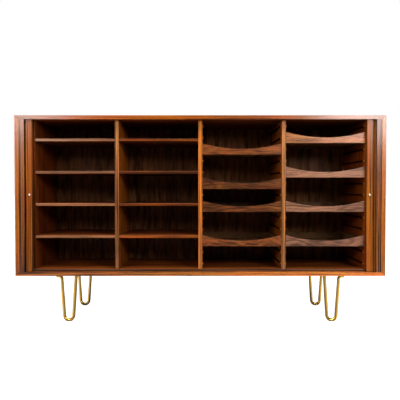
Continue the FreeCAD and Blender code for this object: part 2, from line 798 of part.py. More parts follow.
def check():
    """Stops on anything that failed without a message."""
    for item in doc.Objects:
        if "Invalid" in item.State or "Error" in item.State:
            raise RuntimeError(f"{item.Name} is {item.State}")
    for name, piece in parts.items():
        if piece.Shape.isNull() or not piece.Shape.isValid() or not piece.Shape.Solids:
            raise RuntimeError(f"{name} has no valid solid")


def write():
    os.makedirs("parts", exist_ok=True)
    for name, piece in parts.items():
        piece.Shape.exportStep(f"parts/{name}.step")
    print(len(parts), "sub-parts,", sum(len(piece.Shape.Solids) for piece in parts.values()), "solids")


build()
check()
write()
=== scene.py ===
"""Dresses the tambour door cabinet: rosewood veneer, slatted doors, trays, brass legs and the studio."""

import json
import math
import random

import bmesh
import bpy
from bpy.props import FloatProperty, FloatVectorProperty, IntProperty, PointerProperty
from mathutils import Matrix, Vector

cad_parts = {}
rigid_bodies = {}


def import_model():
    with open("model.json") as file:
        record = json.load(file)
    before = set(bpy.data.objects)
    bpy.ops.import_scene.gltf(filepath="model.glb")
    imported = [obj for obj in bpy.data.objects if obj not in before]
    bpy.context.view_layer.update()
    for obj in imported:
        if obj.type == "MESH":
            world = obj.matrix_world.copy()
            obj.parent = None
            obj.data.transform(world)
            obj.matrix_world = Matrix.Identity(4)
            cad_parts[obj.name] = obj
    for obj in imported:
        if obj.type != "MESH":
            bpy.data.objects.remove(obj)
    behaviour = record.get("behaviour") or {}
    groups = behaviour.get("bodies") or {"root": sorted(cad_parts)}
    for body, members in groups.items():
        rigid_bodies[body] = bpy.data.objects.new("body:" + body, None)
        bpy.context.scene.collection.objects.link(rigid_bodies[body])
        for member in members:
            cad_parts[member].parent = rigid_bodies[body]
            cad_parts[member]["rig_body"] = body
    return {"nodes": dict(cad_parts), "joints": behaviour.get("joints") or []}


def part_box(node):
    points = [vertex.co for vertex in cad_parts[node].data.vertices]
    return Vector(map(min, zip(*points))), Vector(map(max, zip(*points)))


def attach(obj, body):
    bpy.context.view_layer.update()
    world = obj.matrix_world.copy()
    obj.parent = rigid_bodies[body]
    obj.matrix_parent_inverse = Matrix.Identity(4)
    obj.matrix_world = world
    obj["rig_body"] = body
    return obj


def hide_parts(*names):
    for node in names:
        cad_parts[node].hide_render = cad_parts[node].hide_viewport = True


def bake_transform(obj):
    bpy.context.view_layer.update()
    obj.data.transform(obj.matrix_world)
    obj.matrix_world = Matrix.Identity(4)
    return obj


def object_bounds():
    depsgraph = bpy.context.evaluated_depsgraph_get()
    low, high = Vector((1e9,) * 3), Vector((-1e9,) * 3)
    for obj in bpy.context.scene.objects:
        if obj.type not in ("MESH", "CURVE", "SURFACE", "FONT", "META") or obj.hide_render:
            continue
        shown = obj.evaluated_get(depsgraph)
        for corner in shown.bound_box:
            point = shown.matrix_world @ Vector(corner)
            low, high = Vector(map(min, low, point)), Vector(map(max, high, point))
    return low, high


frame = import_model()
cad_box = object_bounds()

bl_info = {
    "name": "Tambour Cabinet Dresser",
    "version": (1, 0, 0),
    "blender": (4, 5, 0),
    "location": "3D View > Sidebar > Cabinet",
    "description": "Finishes the sideboard with tambour doors, one group of pieces at a time",
    "category": "Object",
}

MM = 0.001
FRONT = cad_box[0].y
# the photograph's frame in pixels, and the width of the camera's sensor in millimetres
FRAME_PIXELS = 400
SENSOR = 36.0
SIDES = {"left": -1, "right": 1}
BAYS = {"shelf": (1, 2), "tray": (3, 4)}
PER_BAY = 4
# the highest tray of the fourth bay has a veneer of its own, lighter and partly painted highlight
TOP_TRAY = (4, 4)
TOP_TRAY_VENEER = "rosewood_front_4_top"

# how far edges are eased, and which edges count as sharp
BOARD_EASE = 0.8 * MM
SHELF_EASE = 1.6 * MM
SHEET_EASE = 0.5 * MM
STILE_EASE = 0.4 * MM
CLIP_EASE = 0.3 * MM
EASE_SEGMENTS = 2
SHARP_ANGLE = math.radians(35)
KNOB_SHARP_ANGLE = math.radians(50)
FLAT_ANGLE = math.radians(0.5)
MERGE_GAP = 0.001 * MM
KNOB_MERGE_GAP = 0.01 * MM
LIPPING_SLOPE = 0.7

# how finely round shapes are divided, and how often the search for a tucked point's place is halved
CROWN_STEPS = 6
BEND_STEPS = 8
KNOB_STEPS = 32
ROD_SEGMENTS = 20
FOOT_STEPS = 18
FLARE_STEPS = 8
HEAD_SEGMENTS = 12
BEAD_SEGMENTS = 8
BISECTIONS = 60

# the canvas behind the front slats, the knob's head, the screw's head, the weld beads and the painted shade
# at the slats' seams
CANVAS_INSET_SHARE = 0.1
KNOB_WAIST_SHARE = 0.8
KNOB_LIP_SHARE = 0.9
KNOB_DOME_SHARE = 0.45
KNOB_CROWN_SHARE = 0.5
HEAD_TOP_SHARE = 0.75
HEAD_RIM_SHARE = 0.3
HEAD_DRAFT_SHARE = 0.08
BEAD_OFFSET_SHARE = 0.3
SEAM_SHADE_POWER = 4


def linear(code):
    """A colour's linear red, green and blue, from its sRGB hex code."""
    channels = [int(code[place:place + 2], 16) / 255 for place in (1, 3, 5)]
    return tuple(c / 12.92 if c <= 0.04045 else ((c + 0.055) / 1.055) ** 2.4 for c in channels)


def opaque(colour):
    """A colour with its alpha."""
    return (*colour, 1.0)


def low(node):
    """The lowest corner of a CAD node's box."""
    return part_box(node)[0]


def high(node):
    """The highest corner of a CAD node's box."""
    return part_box(node)[1]


def join(tree, source, target):
    """Links a source to a socket. The source is a socket too, or a node for its first output."""
    tree.links.new(getattr(source, "outputs", [source])[0], target)


def add_node(tree, kind, values=None, links=None, **settings):
    """Adds a node: settings are its own properties, values its sockets' numbers, links their sources."""
    made = tree.nodes.new(kind)
    for name, value in settings.items():
        setattr(made, name, value)
    for name, value in (values or {}).items():
        made.inputs[name].default_value = value
    for name, source in (links or {}).items():
        join(tree, source, made.inputs[name])
    return made


def new_tree(owner):
    """The emptied node tree of a material or a world."""
    owner.use_nodes = True
    owner.node_tree.nodes.clear()
    return owner.node_tree


def new_material(name):
    """A node material, its tree and its shader."""
    material = bpy.data.materials.new(name)
    tree = new_tree(material)
    shader = add_node(tree, "ShaderNodeBsdfPrincipled")
    add_node(tree, "ShaderNodeOutputMaterial", links={"Surface": shader})
    return material, tree, shader


# a Mix node's sockets for colours, which share their names with its other ones
MIX_A = 6
MIX_B = 7
MIX_RESULT = 2

# turns of a pattern that bring its grain from the named axis to the pattern's own X
GRAIN_TURN = {"X": (0.0, 0.0, 0.0), "Y": (0.0, 0.0, -math.pi / 2), "Z": (0.0, math.pi / 2, 0.0)}

# Patterns of the veneers: how many swells lie in a metre along the grain and across it, and their detail.
# The grain strays in waves 250 mm wide. A figured veneer has FIGURE_WAVES more of them in a metre.
GRAIN_WAVES = (1.2, 4.0, 2.0)
FIGURE_WAVES = 3.0
# the wood's own lines are 1 to 3 mm apart; at a fineness of 1 these are 5 mm apart so that they show
FINE_LINES = (3.0, 210.0, 2.0)
# lighter and darker wood 70 mm wide, flames of 22 by 110 mm, and dark streaks 9 mm apart
BROAD_SHADES = (0.9, 14.0, 2.0)
FLAMES = (9.0, 45.0, 1.0)
DARK_STREAKS = (0.6, 110.0, 2.0)
# redder and yellower wood lies in patches of 40 by 200 mm
HUE_PATCHES = (5.0, 25.0, 1.0)
# real pores are 0.2 mm wide; they are drawn 0.9 mm wide so that they show
PORES = (60.0, 1100.0, 0.0)

# how much each pattern changes the wood's tone, which runs from 0 for a vein to 1 for the palest wood
MIDDLE_TONE = 0.64
LINE_GAIN = 1.0
FIGURED_LINE_LOSS = 0.5
BROAD_GAIN = 0.6
FLAME_GAIN = 0.7
STREAK_DEPTH = 0.42
STREAK_CREST = {"From Min": 0.02, "From Max": 0.18}
PORE_CREST = {"From Min": 0.12, "From Max": 0.22}
NOISE_ROUGHNESS = 0.6
NOISE_MIDDLE = (0.5, 0.5, 0.5)
HUE_MIDDLE = 0.5

# growth rings round a heart that lies well outside the boards, drawn out along the grain
LOG = {"Scale": (0.05, 1.0, 1.0), "Location": (0.0, 0.37, -0.46)}
RING_WAVER = {"Distortion": 2.5, "Detail": 3.0, "Detail Scale": 1.3, "Detail Roughness": 0.6}
RING_CREST = {"From Min": 0.55, "From Max": 1.0, "To Max": -0.16}
# the distance between the crests of a wave texture whose scale is 1, in metres
WAVE_PERIOD = math.pi / 10

# places of a wood's colours on its tone, and how its dark and light ones come from the middle one
STOP_PLACES = (0.12, 0.38, 0.62, 0.92)
DARK_GROUND_SHARE = 0.35
DARK_VEIN_SHARE = 0.15
LIGHT_GAIN = 1.45

# pale lines are glossier than dark ones, and lie a little lower
LINE_RANGE = {"From Min": -0.3, "From Max": 0.3}
DARK_LINE_HAZE = 0.1
PALE_LINE_GLOSS = 0.05
LINE_HEIGHT_SHARE = 0.35
GRAIN_BUMP = {"Strength": 0.3, "Distance": 0.12 * MM}


def centred_noise(tree, place, pattern, gain, fineness=1.0):
    """Noise about 0, times its gain, drawn out along the grain."""
    along, across, detail = pattern
    spread = add_node(tree, "ShaderNodeMapping", {"Scale": (along, across * fineness, across * fineness)},
                      {"Vector": place})
    noise = add_node(tree, "ShaderNodeTexNoise",
                     {"Scale": 1.0, "Detail": detail, "Roughness": NOISE_ROUGHNESS}, {"Vector": spread})
    return add_node(tree, "ShaderNodeMapRange", {"To Min": -gain / 2, "To Max": gain / 2}, {"Value": noise},
                    clamp=False)


def add_up(tree, *sources):
    """The sum of several sources."""
    total = sources[0]
    for source in sources[1:]:
        total = add_node(tree, "ShaderNodeMath", links={0: total, 1: source}, operation="ADD")
    return total


def shades(ground):
    """Colours of a rosewood from its darkest vein to its lightest wood, from its middle ground."""
    vein = bpy.context.scene.cabinet_finish.vein
    dark = [DARK_GROUND_SHARE * tone + DARK_VEIN_SHARE * streak for tone, streak in zip(ground, vein)]
    light = [min(1.0, LIGHT_GAIN * tone) for tone in ground]
    return [tuple(vein), tuple(dark), tuple(ground), tuple(light)]


def tone_ramp(tree, tone, ground):
    """A wood's colours, laid out over its tone. A new ramp already has two stops."""
    ramp = add_node(tree, "ShaderNodeValToRGB", links={"Fac": tone})
    stops = ramp.color_ramp.elements
    for place in STOP_PLACES[2:]:
        stops.new(place)
    for stop, place, tint in zip(stops, STOP_PLACES, shades(ground)):
        stop.position = place
        stop.color = opaque(tint)
    return ramp


def bent_grain(tree, place, reach, figure):
    """Places that stray from straight grain in waves, up to a reach."""
    along, across, detail = GRAIN_WAVES
    spread = add_node(tree, "ShaderNodeMapping", {"Scale": (along + FIGURE_WAVES * figure, across, across)},
                      {"Vector": place})
    drift = add_node(tree, "ShaderNodeTexNoise", {"Scale": 1.0, "Detail": detail}, {"Vector": spread})
    centred = add_node(tree, "ShaderNodeVectorMath", {1: NOISE_MIDDLE}, {0: drift.outputs["Color"]},
                       operation="SUBTRACT")
    shift = add_node(tree, "ShaderNodeVectorMath", {"Scale": reach}, {0: centred}, operation="SCALE")
    return add_node(tree, "ShaderNodeVectorMath", links={0: place, 1: shift}, operation="ADD")


def growth_rings(tree, place, gap):
    """Dark growth lines a gap apart."""
    log = add_node(tree, "ShaderNodeMapping", LOG, {"Vector": place})
    rings = add_node(tree, "ShaderNodeTexWave", {"Scale": WAVE_PERIOD / gap, **RING_WAVER}, {"Vector": log},
                     wave_type="RINGS", rings_direction="X")
    return add_node(tree, "ShaderNodeMapRange", RING_CREST, {"Value": rings.outputs["Fac"]})


def satin_lacquer(tree, shader, look, sheen, front, fine):
    """Lacquer that is polished on front edges and left duller on faces, with the fine lines in its gloss."""
    dull = look.face_share * look.lacquer * sheen
    coat = add_node(tree, "ShaderNodeMath", {1: look.lacquer * sheen - dull, 2: dull}, {0: front},
                    operation="MULTIPLY_ADD")
    rough = add_node(tree, "ShaderNodeMapRange", {**LINE_RANGE, "To Min": look.gloss + DARK_LINE_HAZE,
                                                  "To Max": look.gloss - PALE_LINE_GLOSS}, {"Value": fine})
    haze = add_node(tree, "ShaderNodeMath", {1: -look.face_haze, 2: look.face_haze}, {0: front},
                    operation="MULTIPLY_ADD")
    join(tree, add_up(tree, rough, haze), shader.inputs["Roughness"])
    join(tree, coat, shader.inputs["Coat Weight"])
    shader.inputs["Coat Roughness"].default_value = look.lacquer_rough
    shader.inputs["Specular IOR Level"].default_value = look.wood_shine * sheen


def wood(name, grain, cut, ground, lipping, streaks, wander, sheen, fineness, figure):
    """Sliced veneer under satin lacquer: fine lines, dark streaks, growth rings and open pores.

    cut is how far along the log the veneer was sliced, in metres, so that boards don't match. lipping is
    the colour of front edges, which an attribute marks. streaks, wander, sheen, fineness and figure are
    shares of the dark streaks' full strength, of the grain's waves, of the lacquer, of the lines' density
    and of a flamed veneer's short patches.
    """
    look = bpy.context.scene.cabinet_finish
    material, tree, shader = new_material(name)
    place = add_node(tree, "ShaderNodeTexCoord").outputs["Object"]
    turned = add_node(tree, "ShaderNodeMapping", {"Rotation": GRAIN_TURN[grain], "Location": (cut, 0.0, 0.0)},
                      {"Vector": place})
    bent = bent_grain(tree, turned, wander * look.wave, figure)
    fine = centred_noise(tree, bent, FINE_LINES, LINE_GAIN - FIGURED_LINE_LOSS * figure, fineness)
    broad = centred_noise(tree, bent, BROAD_SHADES, BROAD_GAIN)
    flame = centred_noise(tree, bent, FLAMES, FLAME_GAIN * figure)
    crest = centred_noise(tree, bent, DARK_STREAKS, 1.0, fineness)
    streak = add_node(tree, "ShaderNodeMapRange", {**STREAK_CREST, "To Max": -STREAK_DEPTH * streaks},
                      {"Value": crest})
    rings = growth_rings(tree, bent, look.ring_gap)
    # the tone attribute carries each piece's own tone, painted light and shade along its ends, and the
    # painted shade at the slats' seams
    shade = add_node(tree, "ShaderNodeAttribute", attribute_name="tone").outputs["Fac"]
    middle = add_node(tree, "ShaderNodeValue")
    middle.outputs[0].default_value = MIDDLE_TONE
    tone = add_up(tree, middle, fine, broad, flame, rings, streak, shade)
    front = add_node(tree, "ShaderNodeAttribute", attribute_name="lipping").outputs["Fac"]
    tints = {MIX_A: tone_ramp(tree, tone, ground), MIX_B: tone_ramp(tree, tone, lipping)}
    colour = add_node(tree, "ShaderNodeMix", links={0: front, **tints}, data_type="RGBA")
    blush = centred_noise(tree, bent, HUE_PATCHES, look.blush)
    hue = add_node(tree, "ShaderNodeMath", {1: HUE_MIDDLE}, {0: blush}, operation="ADD")
    blushed = add_node(tree, "ShaderNodeHueSaturation",
                       links={"Hue": hue, "Color": colour.outputs[MIX_RESULT]})
    pores = centred_noise(tree, turned, PORES, 1.0)
    open_pore = add_node(tree, "ShaderNodeMapRange", {**PORE_CREST, "To Max": look.pore_share},
                         {"Value": pores})
    porous = add_node(tree, "ShaderNodeMix", {MIX_B: opaque(look.vein)}, {0: open_pore, MIX_A: blushed},
                      data_type="RGBA")
    dip = add_node(tree, "ShaderNodeMath", {1: LINE_HEIGHT_SHARE}, {0: fine, 2: open_pore},
                   operation="MULTIPLY_ADD")
    bump = add_node(tree, "ShaderNodeBump", GRAIN_BUMP, {"Height": dip}, invert=True)
    join(tree, porous.outputs[MIX_RESULT], shader.inputs["Base Color"])
    join(tree, bump, shader.inputs["Normal"])
    satin_lacquer(tree, shader, look, sheen, front, fine)
    return material


# polishing marks: how far they swing a metal's roughness and darken it, at most
MARK_ROUGH_SHARES = (0.7, 1.4)
MARK_DARK_SHARE = 0.8
MARK_RANGE = {"To Min": 0.88, "To Max": 1.0}
MARK_DETAIL = 3.0


def polished_metal(name, colour, rough, scratch_gap):
    """Lacquered or plated metal with faint polishing marks that break up its reflections."""
    material, tree, shader = new_material(name)
    place = add_node(tree, "ShaderNodeTexCoord").outputs["Object"]
    marks = add_node(tree, "ShaderNodeTexNoise", {"Scale": 1 / scratch_gap, "Detail": MARK_DETAIL},
                     {"Vector": place})
    smooth, hazy = (rough * share for share in MARK_ROUGH_SHARES)
    haze = add_node(tree, "ShaderNodeMapRange", {"To Min": smooth, "To Max": hazy}, {"Value": marks})
    shade = add_node(tree, "ShaderNodeMapRange", MARK_RANGE, {"Value": marks})
    dark = [MARK_DARK_SHARE * channel for channel in colour]
    tint = add_node(tree, "ShaderNodeMix", {MIX_A: opaque(dark), MIX_B: opaque(colour)}, {0: shade},
                    data_type="RGBA")
    join(tree, tint.outputs[MIX_RESULT], shader.inputs["Base Color"])
    join(tree, haze, shader.inputs["Roughness"])
    shader.inputs["Metallic"].default_value = 1.0
    return material


CANVAS_THREAD = 1.6 * MM
CANVAS_GAP_SHADE_SHARE = 0.45
CANVAS_ROUGHNESS = 0.9
WEAVE_WAVER = {"Distortion": 0.6, "Detail": 1.0}
WEAVE_BUMP = {"Strength": 0.6, "Distance": 0.2 * MM}


def canvas_cloth(name, colour, thread):
    """Plain-woven linen duck, matt, with its threads standing up as a small bump and painted shade between
    them.
    """
    material, tree, shader = new_material(name)
    place = add_node(tree, "ShaderNodeTexCoord").outputs["Object"]
    warp, weft = (add_node(tree, "ShaderNodeTexWave", {"Scale": WAVE_PERIOD / thread, **WEAVE_WAVER},
                           {"Vector": place}, bands_direction=axis).outputs["Fac"] for axis in "XZ")
    threads = add_node(tree, "ShaderNodeMath", links={0: warp, 1: weft}, operation="MULTIPLY")
    # painted shade in the gaps between the threads
    gap = [CANVAS_GAP_SHADE_SHARE * channel for channel in colour]
    tint = add_node(tree, "ShaderNodeMix", {MIX_A: opaque(gap), MIX_B: opaque(colour)}, {0: threads},
                    data_type="RGBA")
    bump = add_node(tree, "ShaderNodeBump", WEAVE_BUMP, {"Height": threads})
    join(tree, tint.outputs[MIX_RESULT], shader.inputs["Base Color"])
    join(tree, bump, shader.inputs["Normal"])
    shader.inputs["Roughness"].default_value = CANVAS_ROUGHNESS
    return material


# wood: grain axis, cut in metres, colours of its faces and front edges, then the shares of streaks, wander,
# sheen, fineness and figure
WOOD_SHARES = {
    # rosewood of the case: straight grain with long dark streaks, under a satin sheen
    "rosewood_top": ("X", 12.0, "wall_ground", "top_ground", 0.3, 0.3, 1.2, 0.8, 0.2),
    "rosewood_bottom": ("X", 19.0, "floor_ground", "bottom_ground", 0.45, 0.3, 1.0, 0.8, 0.2),
    "rosewood_case_upright": ("Z", 0.0, "case_ground", "case_ground", 0.5, 0.1, 1.2, 0.9, 0.0),
    "rosewood_post_left": ("Z", 0.0, "post_ground", "post_ground", 1.5, 0.05, 1.2, 0.9, 0.0),
    "rosewood_post_right": ("Z", 0.0, "post_ground", "post_ground", 1.5, 0.05, 0.92, 0.9, 0.0),
    # rosewood of the doors: broader lines, a little redder
    "rosewood_stile": ("Z", 0.0, "stile_ground", "stile_ground", 0.8, 0.05, 0.4, 1.2, 0.0),
    "rosewood_slat": ("Z", 0.0, "slat_ground", "slat_ground", 0.8, 0.05, 0.4, 1.0, 0.0),
    # rosewood inside: its front edges have a colour of their own. The paler edges of the outer dividers and
    # of the first bay's shelves are partly painted sheen from the side lamps, the inner floor's grey edge is
    # painted sheen, and the inner walls' edges are darker.
    "rosewood_divider_pale": ("Z", 0.0, "case_ground", "pale_divider", 0.3, 0.2, 1.0, 1.0, 0.0),
    "rosewood_divider_warm": ("Z", 0.0, "case_ground", "warm_divider", 0.3, 0.2, 1.0, 1.0, 0.0),
    "rosewood_inner_wall": ("Z", 0.0, "wall_ground", "inner_wall_edge", 0.4, 0.2, 0.6, 1.0, 0.0),
    "rosewood_inner_floor": ("X", 0.0, "floor_ground", "floor_edge", 0.45, 0.3, 0.8, 0.8, 0.0),
    "rosewood_shelf_1": ("X", 0.0, "shelf_ground", "shelf_edge_pale", 0.5, 0.3, 1.0, 0.8, 0.3),
    "rosewood_shelf_2": ("X", 0.0, "shelf_ground", "shelf_edge_warm", 0.5, 0.3, 0.7, 0.8, 0.3),
    # flamed rosewood on the back: broad upright figure with hardly any streaks
    "rosewood_back": ("Z", 0.0, "back_ground", "back_ground", 0.05, 0.3, 0.1, 1.0, 1.3),
    # rosewood of the tray fronts: a wandering grain, polished higher than the case. The fourth bay's greyer
    # fronts are partly painted sheen from the lamp at the right, and its highest front is partly painted
    # highlight.
    "rosewood_front_3": ("X", 0.0, "warm_front", "warm_front", 0.3, 1.0, 0.7, 1.6, 1.0),
    "rosewood_front_4": ("X", 0.0, "pale_front", "pale_front", 0.1, 1.0, 1.0, 1.6, 0.6),
    "rosewood_front_4_top": ("X", 0.0, "tan_front", "tan_front", 0.1, 1.0, 0.6, 1.6, 0.8),
    # mahogany of the tray boxes: plain brown, with few lines
    "mahogany_tray_box": ("Y", 0.0, "box_ground", "box_ground", 0.2, 0.5, 0.4, 1.0, 0.0),
    # beech of the runner strips, coloured almost black: painted shade for the dark lines along the strips
    "dark_stained_beech": ("Y", 0.0, "runner", "case_ground", 0.2, 0.3, 0.4, 1.0, 0.0),
}

# node: how much lighter or darker its wood is at the left and right ends, or at the bottom and the top. This
# is partly the wood's own tone and partly painted light and shade: most uprights are painted lighter at the
# top, where more light falls.
END_TONE_AND_SHADE_SHARES = {
    "case_top": (0.0, -0.12),
    "case_bottom": (-0.28, 0.02),
    "case_side_left": (-0.16, 0.14),
    "case_side_right": (0.08, -0.06),
    "inner_wall_left": (-0.12, -0.04),
    "inner_wall_right": (0.2, 0.2),
    "corner_post_left": (-0.28, 0.14),
    "corner_post_right": (-0.2, -0.26),
    "lead_stile_left": (-0.13, -0.07),
    "lead_stile_right": (0.06, 0.1),
    "divider_1": (-0.22, -0.09),
    "divider_2": (0.0, 0.0),
    "divider_3": (-0.13, -0.04),
    "shelf_1_1": (-0.02, -0.02),
    "shelf_1_2": (0.14, 0.08),
    "shelf_1_3": (-0.01, -0.05),
    "shelf_1_4": (0.02, -0.14),
    "shelf_2_1": (-0.02, -0.02),
    "shelf_2_2": (-0.2, -0.2),
    "shelf_2_3": (-0.18, -0.18),
    "shelf_2_4": (-0.13, -0.09),
    "tray_front_3_1": (-0.02, -0.1),
    "tray_front_3_2": (-0.2, -0.22),
    "tray_front_3_3": (-0.18, -0.24),
    "tray_front_3_4": (-0.12, -0.12),
    "tray_front_4_1": (-0.1, -0.13),
    "tray_front_4_2": (-0.08, -0.08),
    "tray_front_4_3": (-0.06, 0.0),
    "tray_front_4_4": (-0.01, 0.06),
}

# metal: its colour, its roughness and the gap between its polishing marks
METALS = {
    # drawn brass under clear lacquer has long soft gold lights
    "brass_rod": ("brass", 0.2, 6 * MM),
    # rolled brass is duller, and its lights are wider
    "brass_sheet": ("brass", 0.3, 4 * MM),
    # bronzed steel is dark brown, with hardly any lights
    "bronzed_clip": ("clip", 0.45, 4 * MM),
    # nickel on turned brass has small, warm white lights
    "knob_nickel": ("knob", 0.3, 3 * MM),
    # zinc-plated steel is grey and softly bright
    "screw_steel": ("screw", 0.3, 2 * MM),
}


def finish(name):
    """The named finish, made the first time that it is asked for."""
    if name in bpy.data.materials:
        return bpy.data.materials[name]
    look = bpy.context.scene.cabinet_finish
    if name in WOOD_SHARES:
        grain, cut, ground, lipping, *shares = WOOD_SHARES[name]
        return wood(name, grain, cut, tuple(getattr(look, ground)), tuple(getattr(look, lipping)), *shares)
    if name in METALS:
        colour, rough, scratch_gap = METALS[name]
        return polished_metal(name, tuple(getattr(look, colour)), rough, scratch_gap)
    return canvas_cloth(name, tuple(look.canvas), CANVAS_THREAD)


def fit_out(piece, body, surface):
    """Puts a finished piece on its body, with its material."""
    piece.data.materials.clear()
    piece.data.materials.append(finish(surface))
    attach(piece, body)


def eased_copy(node, surface, edge, flatten=True):
    """A copy of a CAD node with its sharp edges eased, its triangles merged to flat faces.

    A board with a ring groove isn't flattened, because a face with an island in it can't be filled well.
    """
    source = frame["nodes"][node]
    work = bmesh.new()
    work.from_mesh(source.data)
    bmesh.ops.remove_doubles(work, verts=work.verts, dist=MERGE_GAP)
    if flatten:
        bmesh.ops.dissolve_limit(work, angle_limit=FLAT_ANGLE, verts=work.verts, edges=work.edges)
    for face in work.faces:
        face.smooth = True
    piece = mesh_object(node + "_eased", work)
    piece.data.attributes.remove(piece.data.attributes["custom_normal"])
    mark_lipping(piece.data)
    if node in END_TONE_AND_SHADE_SHARES:
        shade_ends(piece.data, WOOD_SHARES[surface][0], *END_TONE_AND_SHADE_SHARES[node])
    piece.data.set_sharp_from_angle(angle=SHARP_ANGLE)
    ease_edges(piece, edge)
    fit_out(piece, source["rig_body"], surface)
    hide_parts(node)


def mark_lipping(mesh):
    """Marks the faces that look to the front, which carry the lipping."""
    layer = mesh.attributes.new("lipping", "FLOAT", "FACE")
    layer.data.foreach_set("value", [float(face.normal.y < -LIPPING_SLOPE) for face in mesh.polygons])


def shade_ends(mesh, grain, first, last):
    """Shades a mesh from one end of its grain to the other: left to right, or bottom to top. The shade is
    partly the wood's own tone and partly painted light and shade.
    """
    axis = "XYZ".index(grain)
    places = [vert.co[axis] for vert in mesh.vertices]
    start, length = min(places), max(places) - min(places)
    tones = [first + (last - first) * (place - start) / length for place in places]
    mesh.attributes.new("tone", "FLOAT", "POINT").data.foreach_set("value", tones)


def mesh_object(name, work):
    """Ends a bmesh and links it as an object at the origin."""
    mesh = bpy.data.meshes.new(name)
    work.to_mesh(mesh)
    work.free()
    piece = bpy.data.objects.new(name, mesh)
    bpy.context.scene.collection.objects.link(piece)
    return piece


def verts_of(geom):
    """The vertices that an operator gave back."""
    return [item for item in geom if isinstance(item, bmesh.types.BMVert)]


def edges_of(geom):
    """The edges that an operator gave back."""
    return [item for item in geom if isinstance(item, bmesh.types.BMEdge)]


def extrude_edges(work, edges, shift):
    """Extrudes edges by a shift and returns the edges at the far end."""
    made = bmesh.ops.extrude_edge_only(work, edges=edges)["geom"]
    bmesh.ops.translate(work, verts=verts_of(made), vec=shift)
    return edges_of(made)


def smooth_piece(name, work, sharp=SHARP_ANGLE):
    """Ends a bmesh as an object with even normals, smooth but for its sharp edges."""
    bmesh.ops.recalc_face_normals(work, faces=work.faces)
    for face in work.faces:
        face.smooth = True
    piece = mesh_object(name, work)
    piece.data.set_sharp_from_angle(angle=sharp)
    return piece


def ease_edges(piece, width):
    """Rounds a piece's sharp edges."""
    ease = piece.modifiers.new("eased_edges", "BEVEL")
    ease.width = width
    ease.segments = EASE_SEGMENTS
    ease.limit_method = "ANGLE"
    ease.angle_limit = SHARP_ANGLE
    ease.harden_normals = True


def add_box(work, corner, opposite):
    """Adds a box between two corners."""
    middle = (Vector(opposite) + Vector(corner)) / 2
    size = Vector(opposite) - Vector(corner)
    place = Matrix.Translation(middle) @ Matrix.Diagonal((abs(size.x), abs(size.y), abs(size.z), 1))
    bmesh.ops.create_cube(work, size=1, matrix=place)


def add_screw_head(work, place, radius, height):
    """Adds a pan head with a round recess; it stands on the XY plane of its place, towards +Z."""
    lifted = place @ Matrix.Translation((0, 0, height / 2))
    cone = bmesh.ops.create_cone(work, cap_ends=True, segments=HEAD_SEGMENTS, radius1=radius,
                                 radius2=radius * HEAD_TOP_SHARE, depth=height, matrix=lifted)["verts"]
    axis = place.to_3x3() @ Vector((0, 0, 1))
    faces = {face for vert in cone for face in vert.link_faces}
    top = max(faces, key=lambda face: face.calc_center_median().dot(axis))
    bmesh.ops.inset_individual(work, faces=[top], thickness=radius * HEAD_RIM_SHARE)
    bmesh.ops.inset_individual(work, faces=[top], thickness=radius * HEAD_DRAFT_SHARE, depth=-height / 2)


class Track:
    """The canvas line of one door. Distances run outwards from the middle of the case's front."""

    def __init__(self, name):
        doors = bpy.context.scene.cabinet_doors
        stile = f"lead_stile_{name}"
        slats = f"door_slats_{name}"
        self.side = SIDES[name]
        self.stile_end = max(abs(low(stile).x), abs(high(stile).x))
        self.radius = doors.bend_radius
        self.front = high(stile).y
        self.rear = high(slats).y - doors.slat_thickness
        self.straight = max(abs(low(slats).x), abs(high(slats).x)) - doors.slat_thickness - self.radius
        self.depth = self.rear - self.front - 2 * self.radius
        self.travel = max(abs(end) for end in joint_range(f"door_{name}_slide"))

    def bend_centre(self, y, height):
        """The middle of a bend of the track, at a height."""
        return Vector((self.straight * self.side, y, height))

    def point(self, distance):
        """The point at a distance, and the line's turn there, as a matrix."""
        quarter = self.radius * math.pi / 2
        along = [self.straight, quarter, self.depth, quarter]
        place = Matrix.Translation((0, self.front, 0))
        for number, length in enumerate(along):
            part = min(distance, length)
            if number % 2:
                turn = Matrix.Rotation(part / self.radius, 4, "Z")
                place = place @ Matrix.Translation((0, self.radius, 0)) @ turn
                place = place @ Matrix.Translation((0, -self.radius, 0))
            else:
                place = place @ Matrix.Translation((part, 0, 0))
            distance -= part
        place = place @ Matrix.Translation((distance, 0, 0))
        mirror = Matrix.Diagonal((self.side, 1, 1, 1))
        return mirror @ place @ mirror


def joint_range(name):
    """The limits of a joint, in metres."""
    return next(joint["range_m"] for joint in frame["joints"] if joint["name"] == name)


def add_slat(work, doors, bottom, top):
    """Adds a slat that stands at the origin: its back lies on Y 0 and its crowned face looks to -Y."""
    half = doors.slat_width / 2
    edge = doors.slat_thickness - doors.slat_crown
    radius = (half ** 2 + doors.slat_crown ** 2) / (2 * doors.slat_crown)
    first = bmesh.ops.create_vert(work, co=(half, -edge, bottom))["vert"][0]
    swept = bmesh.ops.spin(work, geom=[first], cent=(0, radius - doors.slat_thickness, bottom),
                           axis=(0, 0, 1), angle=-2 * math.asin(half / radius), steps=CROWN_STEPS)
    last = verts_of(swept["geom_last"])[0]
    backs = bmesh.ops.extrude_vert_indiv(work, verts=[first, last])["verts"]
    bmesh.ops.translate(work, verts=backs, vec=(0, edge, 0))
    bmesh.ops.contextual_create(work, geom=backs)
    face = bmesh.ops.contextual_create(work, geom=work.edges[:])["faces"]
    made = bmesh.ops.extrude_face_region(work, geom=face)["geom"]
    bmesh.ops.translate(work, verts=verts_of(made), vec=(0, 0, top - bottom))


